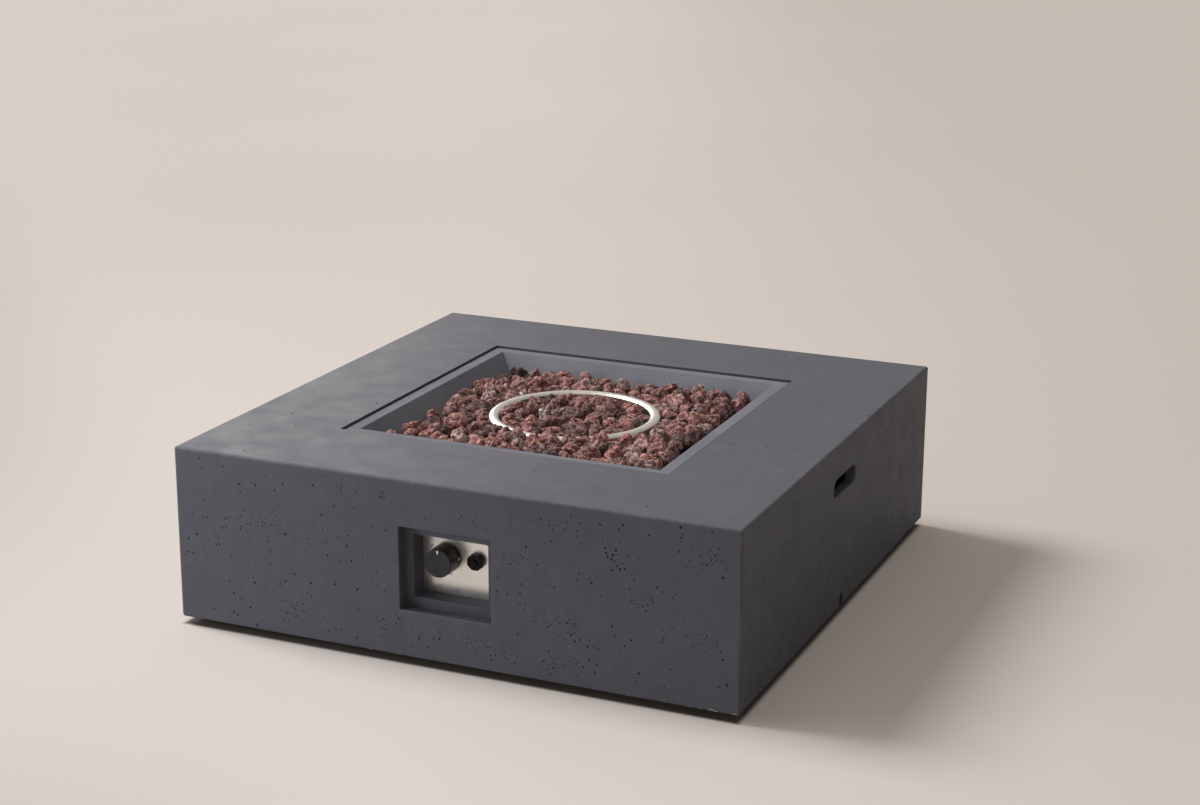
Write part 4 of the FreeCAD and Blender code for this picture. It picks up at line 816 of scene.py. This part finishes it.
skin_luck = numpy.random.default_rng(21)
coarse, fine = 3, 4
bed = heap("lava_rock_bed", bed_stones, coarse, skin_luck)
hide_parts("lava_rock_fill")
heap("lava_rocks_in_ring", inner_stones, fine, skin_luck)
heap("lava_rocks_left", left_stones, fine, skin_luck)
loose = heap("lava_rocks_right", right_stones, fine, skin_luck)
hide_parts("lava_rocks")

# ---- Ignition and flame sensor -------------------------------------------------------------------
# A white glazed ceramic carries the spark wire up beside the ring, and the flame sensor stands
# next to it. Both are gripped by a folded clip that is screwed to the pan floor.

electrode_ceramic = coated(
    "electrode_ceramic",
    roughness=0.35,
    clouds=(0.004, 3.0),
    colours=[(0.25, (0.72, 0.69, 0.64)), (0.7, (0.86, 0.85, 0.82))],
    skin=(0.0015, 2.0, 0.00008),
)
dress(electrode_ceramic, "electrode")

silicone_lead = coated(
    "silicone_lead",
    roughness=0.55,
    clouds=(0.006, 2.0),
    colours=[(0.3, (0.30, 0.045, 0.028)), (0.7, (0.42, 0.075, 0.045))],
    skin=(0.001, 2.0, 0.00003),
)
dress(silicone_lead, "ignition_lead")

copper_lead = coated(
    "copper_lead",
    roughness=0.38,
    clouds=(0.004, 3.0),
    colours=[(0.3, (0.50, 0.26, 0.17)), (0.7, (0.70, 0.40, 0.27))],
    skin=(0.001, 2.0, 0.00002),
    metallic=1.0,
)
dress(copper_lead, "sensor_lead")

# ---- Gas train -----------------------------------------------------------------------------------
# Machined brass unions, elbow and jet, a cast aluminium valve and a drawn aluminium pipe. They
# hang under the pan, out of the heat, and bring the gas from the hose union to the mixer.

brass_union = coated(
    "brass_union",
    roughness=0.3,
    clouds=(0.004, 3.0),
    colours=[(0.3, (0.56, 0.40, 0.17)), (0.7, (0.74, 0.56, 0.28))],
    skin=(0.0007, 2.0, 0.00002),
    metallic=1.0,
    sheen=(0.006, 0.22, 0.42),
)
dress(brass_union, "gas_jet", "jet_holder", "burner_elbow", "gas_inlet_fitting")
dress(brass_union, "inlet_nipple", "pipe_nuts")

valve_casting = coated(
    "valve_casting",
    roughness=0.48,
    clouds=(0.003, 3.0),
    colours=[(0.3, (0.56, 0.56, 0.57)), (0.7, (0.72, 0.72, 0.73))],
    skin=(0.0012, 3.0, 0.0001),
    metallic=1.0,
)
dress(valve_casting, "valve_body", "supply_pipe")

spring_wire = coated(
    "spring_wire",
    roughness=0.3,
    clouds=(0.003, 2.0),
    colours=[(0.3, (0.38, 0.38, 0.39)), (0.7, (0.52, 0.52, 0.53))],
    skin=(0.0006, 2.0, 0.00002),
    metallic=1.0,
)
dress(spring_wire, "valve_spring", "contact_spring", "valve_stem", "valve_plunger")

# ---- Control plate -------------------------------------------------------------------------------
# A brushed stainless plate screwed on from behind, closing the recess. Two short arcs, printed on
# it in black beside the knob, mark the knob's off and full-on places.

bright_steel = ((0.74, 0.71, 0.67), (0.82, 0.79, 0.75))
plate_steel = stainless(
    "plate_steel", *bright_steel, low=0.27, high=0.35, brushed=(60.0, 1.0, 1.0)
)
dress(plate_steel, "control_plate")

plate_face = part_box("control_plate")[0].y
knob_low, knob_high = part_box("knob")
knob_centre = (knob_low + knob_high) / 2
ink_width = 0.0012
ink_film = 0.00006
arc_steps = 12
arcs = ((0.0280, 147, 7.0), (0.0256, -76, 8.0))  # radius, degrees to its middle and to each end

# Each arc is a thin bar of ink, with four corners at every step along it.
ink_skin = bmesh.new()
for radius, middle, half_span in arcs:
    rails = []
    for step in range(arc_steps + 1):
        turn = math.radians(middle + half_span * (step / (arc_steps / 2) - 1))
        rail = []
        for out in (0.0, -ink_film):
            for r in (radius - ink_width / 2, radius + ink_width / 2):
                x, z = knob_centre.x + r * math.cos(turn), knob_centre.z + r * math.sin(turn)
                rail.append(ink_skin.verts.new((x, plate_face + out, z)))
        rails.append([rail[0], rail[1], rail[3], rail[2]])
    for here, there in zip(rails, rails[1:]):
        for i in range(4):
            follow = (i + 1) % 4
            ink_skin.faces.new((here[i], here[follow], there[follow], there[i]))
    ink_skin.faces.new(rails[0][::-1])
    ink_skin.faces.new(rails[-1])
bmesh.ops.recalc_face_normals(ink_skin, faces=ink_skin.faces)
marks = bpy.data.meshes.new("plate_marks")
ink_skin.to_mesh(marks)
ink_skin.free()
black_ink = coated(
    "black_ink",
    roughness=0.6,
    clouds=(0.0012, 3.0),
    colours=[(0.3, (0.020, 0.020, 0.021)), (0.7, (0.045, 0.044, 0.044))],
    skin=(0.0004, 2.0, 0.00001),
)
show("plate_marks", marks, "table", black_ink)

# ---- Knob ----------------------------------------------------------------------------------------
# A moulded black knob on the flatted valve stem, its face spun to a fine texture. The white line
# at its rim is an insert pressed into a groove.

knob_black = coated(
    "knob_black",
    roughness=0.38,
    clouds=(0.008, 3.0),
    colours=[(0.3, (0.012, 0.012, 0.013)), (0.75, (0.024, 0.024, 0.025))],
    skin=(0.0006, 2.0, 0.00004),
    specular=0.36,
    sheen=(0.004, 0.30, 0.46),
)
dress(knob_black, "knob")

pointer_white = coated(
    "pointer_white",
    roughness=0.4,
    clouds=(0.003, 2.0),
    colours=[(0.3, (0.78, 0.78, 0.76)), (0.7, (0.88, 0.88, 0.86))],
    skin=(0.0006, 2.0, 0.00002),
)
dress(pointer_white, "knob_pointer")

# ---- Igniter -------------------------------------------------------------------------------------
# A black push-button igniter through the plate: its eight-sided cap unscrews to change the cell
# behind the button. The cell has a plain wrapped can.

igniter_black = coated(
    "igniter_black",
    roughness=0.3,
    clouds=(0.006, 3.0),
    colours=[(0.3, (0.006, 0.006, 0.007)), (0.75, (0.013, 0.013, 0.014))],
    skin=(0.0008, 2.0, 0.00002),
    specular=0.1,
    sheen=(0.003, 0.16, 0.28),
)
dress(igniter_black, "igniter_body", "igniter_cap", "igniter_lock_nut", "igniter_button")

cell_wrap = coated(
    "cell_wrap",
    roughness=0.35,
    clouds=(0.01, 2.0),
    colours=[(0.3, (0.07, 0.08, 0.09)), (0.7, (0.11, 0.12, 0.14))],
    skin=(0.001, 2.0, 0.00002),
)
dress(cell_wrap, "battery")

# ---- Floor ---------------------------------------------------------------------------------------
# A pale warm sheet of studio paper that runs on far behind the table. Its colour darkens to the
# right as a painted fall-off of light, to the front left as painted shade against the front lamp's
# pool, and beneath the table as a painted shadow, where the low edge lets in little light.

floor_half = 14.0
floor_mesh = bpy.data.meshes.new("floor")
floor_skin = bmesh.new()
bmesh.ops.create_grid(floor_skin, x_segments=24, y_segments=24, size=floor_half)
floor_skin.to_mesh(floor_mesh)
floor_skin.free()
floor = bpy.data.objects.new("floor", floor_mesh)
bpy.context.scene.collection.objects.link(floor)
floor_paper, tree, shader = finish("floor_paper", roughness=0.9)
shader.inputs["Specular IOR Level"].default_value = 0.1
paper_stops = [(0.3, (0.645, 0.592, 0.556)), (0.7, (0.665, 0.612, 0.576))]
paper = tones(tree, grain(tree, 1.8, 1.0), paper_stops)


def smooth_rise(tree, drive, start, end, first, last):
    """A colour that goes smoothly from the first at one value of the drive to the last."""
    reach = tree.nodes.new("ShaderNodeMapRange")
    reach.interpolation_type = "SMOOTHSTEP"
    reach.inputs["From Min"].default_value = start
    reach.inputs["From Max"].default_value = end
    tree.links.new(drive, reach.inputs["Value"])
    return tones(tree, reach.outputs["Result"], [(0.0, first), (1.0, last)])


def painted_shade_along(tree, way, start, end, colour):
    """A painted shade that comes in smoothly along one way across the floor, from start to end."""
    spot = tree.nodes.new("ShaderNodeTexCoord")
    along = tree.nodes.new("ShaderNodeVectorMath")
    along.operation = "DOT_PRODUCT"
    along.inputs[1].default_value = way
    tree.links.new(spot.outputs["Object"], along.inputs[0])
    return smooth_rise(tree, along.outputs["Value"], start, end, grey(1.0), colour)


def painted_shadow_under_table(tree, inside, outside, colour):
    """A painted shadow: a dark tone of the paper beneath the table, gone a little way past its
    edge.
    """
    spot = tree.nodes.new("ShaderNodeTexCoord")
    fold = tree.nodes.new("ShaderNodeVectorMath")
    fold.operation = "ABSOLUTE"
    parts = tree.nodes.new("ShaderNodeSeparateXYZ")
    wider = tree.nodes.new("ShaderNodeMath")
    wider.operation = "MAXIMUM"
    tree.links.new(spot.outputs["Object"], fold.inputs[0])
    tree.links.new(fold.outputs["Vector"], parts.inputs["Vector"])
    tree.links.new(parts.outputs["X"], wider.inputs[0])
    tree.links.new(parts.outputs["Y"], wider.inputs[1])
    return smooth_rise(tree, wider.outputs["Value"], inside, outside, colour, grey(1.0))


painted_falloff_right = painted_shade_along(tree, (0.92, 0.40, 0.0), start=-0.5, end=1.6, colour=(0.81, 0.79, 0.775))
painted_shade_front_left = painted_shade_along(tree, (-0.71, -0.71, 0.0), start=0.35, end=1.35, colour=grey(0.66))
beneath = painted_shadow_under_table(
    tree, inside=side_half - 0.007, outside=side_half + 0.004, colour=(0.12, 0.11, 0.10)
)
for tint in (painted_falloff_right, painted_shade_front_left, beneath):
    paper = mixed(tree, 1.0, paper, tint, "MULTIPLY")
tree.links.new(paper, shader.inputs["Base Color"])

# The camera sees the paper lifted a little, as by a far window, but not in the painted shadow
# beneath the table.
lift_share = 0.11
window_light = tree.nodes.new("ShaderNodeEmission")
window_light.inputs["Color"].default_value = (0.60, 0.52, 0.455, 1.0)
seen = tree.nodes.new("ShaderNodeLightPath")
share = tree.nodes.new("ShaderNodeMath")
share.operation = "MULTIPLY"
share.inputs[1].default_value = lift_share
kept_dark = tree.nodes.new("ShaderNodeMath")
kept_dark.operation = "MULTIPLY"
lifted = tree.nodes.new("ShaderNodeMixShader")
tree.links.new(seen.outputs["Is Camera Ray"], share.inputs[0])
tree.links.new(share.outputs["Value"], kept_dark.inputs[0])
tree.links.new(beneath, kept_dark.inputs[1])
tree.links.new(kept_dark.outputs["Value"], lifted.inputs["Fac"])
tree.links.new(shader.outputs["BSDF"], lifted.inputs[1])
tree.links.new(window_light.outputs["Emission"], lifted.inputs[2])
tree.links.new(lifted.outputs["Shader"], tree.nodes["Material Output"].inputs["Surface"])
floor_mesh.materials.append(floor_paper)

# ---- Light and camera ----------------------------------------------------------------------------
# A broad key lamp half way up on the left, a small cool lamp low at the front left, a card that
# only shiny faces mirror, and a dim room about them. A long lens looks from the front right.


def studio():
    """Pale room: warm and dim on the right, cooler on the left, shown paler behind the object."""
    sky = bpy.data.worlds.new("studio")
    sky.use_nodes = True
    tree = sky.node_tree
    place = tree.nodes.new("ShaderNodeTexCoord")

    def across(way, right, left):
        """A tint of the room that goes from one colour on the right to another on the left."""
        side = tree.nodes.new("ShaderNodeVectorMath")
        side.operation = "DOT_PRODUCT"
        side.inputs[1].default_value = [c / 2 for c in way]
        half = tree.nodes.new("ShaderNodeMath")
        half.inputs[1].default_value = 0.5
        tree.links.new(place.outputs["Generated"], side.inputs[0])
        tree.links.new(side.outputs["Value"], half.inputs[0])
        return tones(tree, half.outputs["Value"], [(0.0, right), (1.0, left)])

    lit = tree.nodes["Background"]
    seen = tree.nodes.new("ShaderNodeBackground")
    room = across((-0.72, 0.42, 0.55), right=(0.195, 0.172, 0.148), left=(0.500, 0.490, 0.480))
    wall = across((-0.92, 0.10, 0.38), right=(0.16, 0.150, 0.140), left=(0.90, 0.855, 0.815))
    tree.links.new(room, lit.inputs["Color"])
    tree.links.new(wall, seen.inputs["Color"])
    ray = tree.nodes.new("ShaderNodeLightPath")
    shown = ray.outputs["Is Camera Ray"]
    for kind in ("Is Glossy Ray", "Is Transmission Ray"):
        either = tree.nodes.new("ShaderNodeMath")
        either.operation = "MAXIMUM"
        tree.links.new(shown, either.inputs[0])
        tree.links.new(ray.outputs[kind], either.inputs[1])
        shown = either.outputs["Value"]
    pick = tree.nodes.new("ShaderNodeMixShader")
    tree.links.new(shown, pick.inputs["Fac"])
    tree.links.new(lit.outputs["Background"], pick.inputs[1])
    tree.links.new(seen.outputs["Background"], pick.inputs[2])
    tree.links.new(pick.outputs["Shader"], tree.nodes["World Output"].inputs["Surface"])
    return sky


bpy.context.scene.world = studio()

to_key = Vector((-1.0, 0.02, 0.98))
key = bpy.data.lights.new("key", "SUN")
key.energy = 2.9
key.angle = math.radians(24)
key.color = (1.0, 0.985, 0.965)
key_lamp = bpy.data.objects.new("key_lamp", key)
key_lamp.rotation_euler = to_key.to_track_quat("Z", "Y").to_euler()
bpy.context.scene.collection.objects.link(key_lamp)


def soft_lamp(name, place, target, width, watts, colour):
    """A flat lamp, three quarters as high as it is wide, turned to face its target."""
    light = bpy.data.lights.new(name, "AREA")
    light.shape = "RECTANGLE"
    light.size = width
    light.size_y = width * 0.75
    light.energy = watts
    light.color = colour
    lamp = bpy.data.objects.new(name, light)
    lamp.location = place
    lamp.rotation_euler = (Vector(target) - Vector(place)).to_track_quat("-Z", "Y").to_euler()
    bpy.context.scene.collection.objects.link(lamp)
    return lamp


soft_lamp(
    "front_fill",
    place=(-1.35, -1.35, 0.55),
    target=(-0.4, -0.3, 0.1),
    width=0.7,
    watts=12.0,
    colour=(0.88, 0.94, 1.0),
)
card = soft_lamp(
    "sheen_card",
    place=(-1.75, 1.5, 0.95),
    target=(-0.3, 0.0, 0.25),
    width=1.0,
    watts=17.0,
    colour=(1.0, 0.98, 0.96),
)
card.visible_diffuse = False

azimuth, elevation, roll = math.radians(23.62), math.radians(16.39), math.radians(0.23)
level_share = math.cos(elevation)
back_x, back_y = math.sin(azimuth) * level_share, -math.cos(azimuth) * level_share
back = Vector((back_x, back_y, math.sin(elevation)))
level_right = Vector((math.cos(azimuth), math.sin(azimuth), 0.0))
level_up = back.cross(level_right)
right = level_right * math.cos(roll) + level_up * math.sin(roll)
up = level_up * math.cos(roll) - level_right * math.sin(roll)
lens = bpy.data.cameras.new("long_lens")
lens.sensor_width = 36.0
lens.lens = 67.593
lens.clip_end = 60.0
camera = bpy.data.objects.new("camera", lens)
camera_place = Matrix.Translation((1.4078, -3.1187, 1.2906))
camera.matrix_world = camera_place @ Matrix((right, up, back)).transposed().to_4x4()
bpy.context.scene.collection.objects.link(camera)
bpy.context.scene.camera = camera
bpy.context.scene.view_settings.view_transform = "Standard"
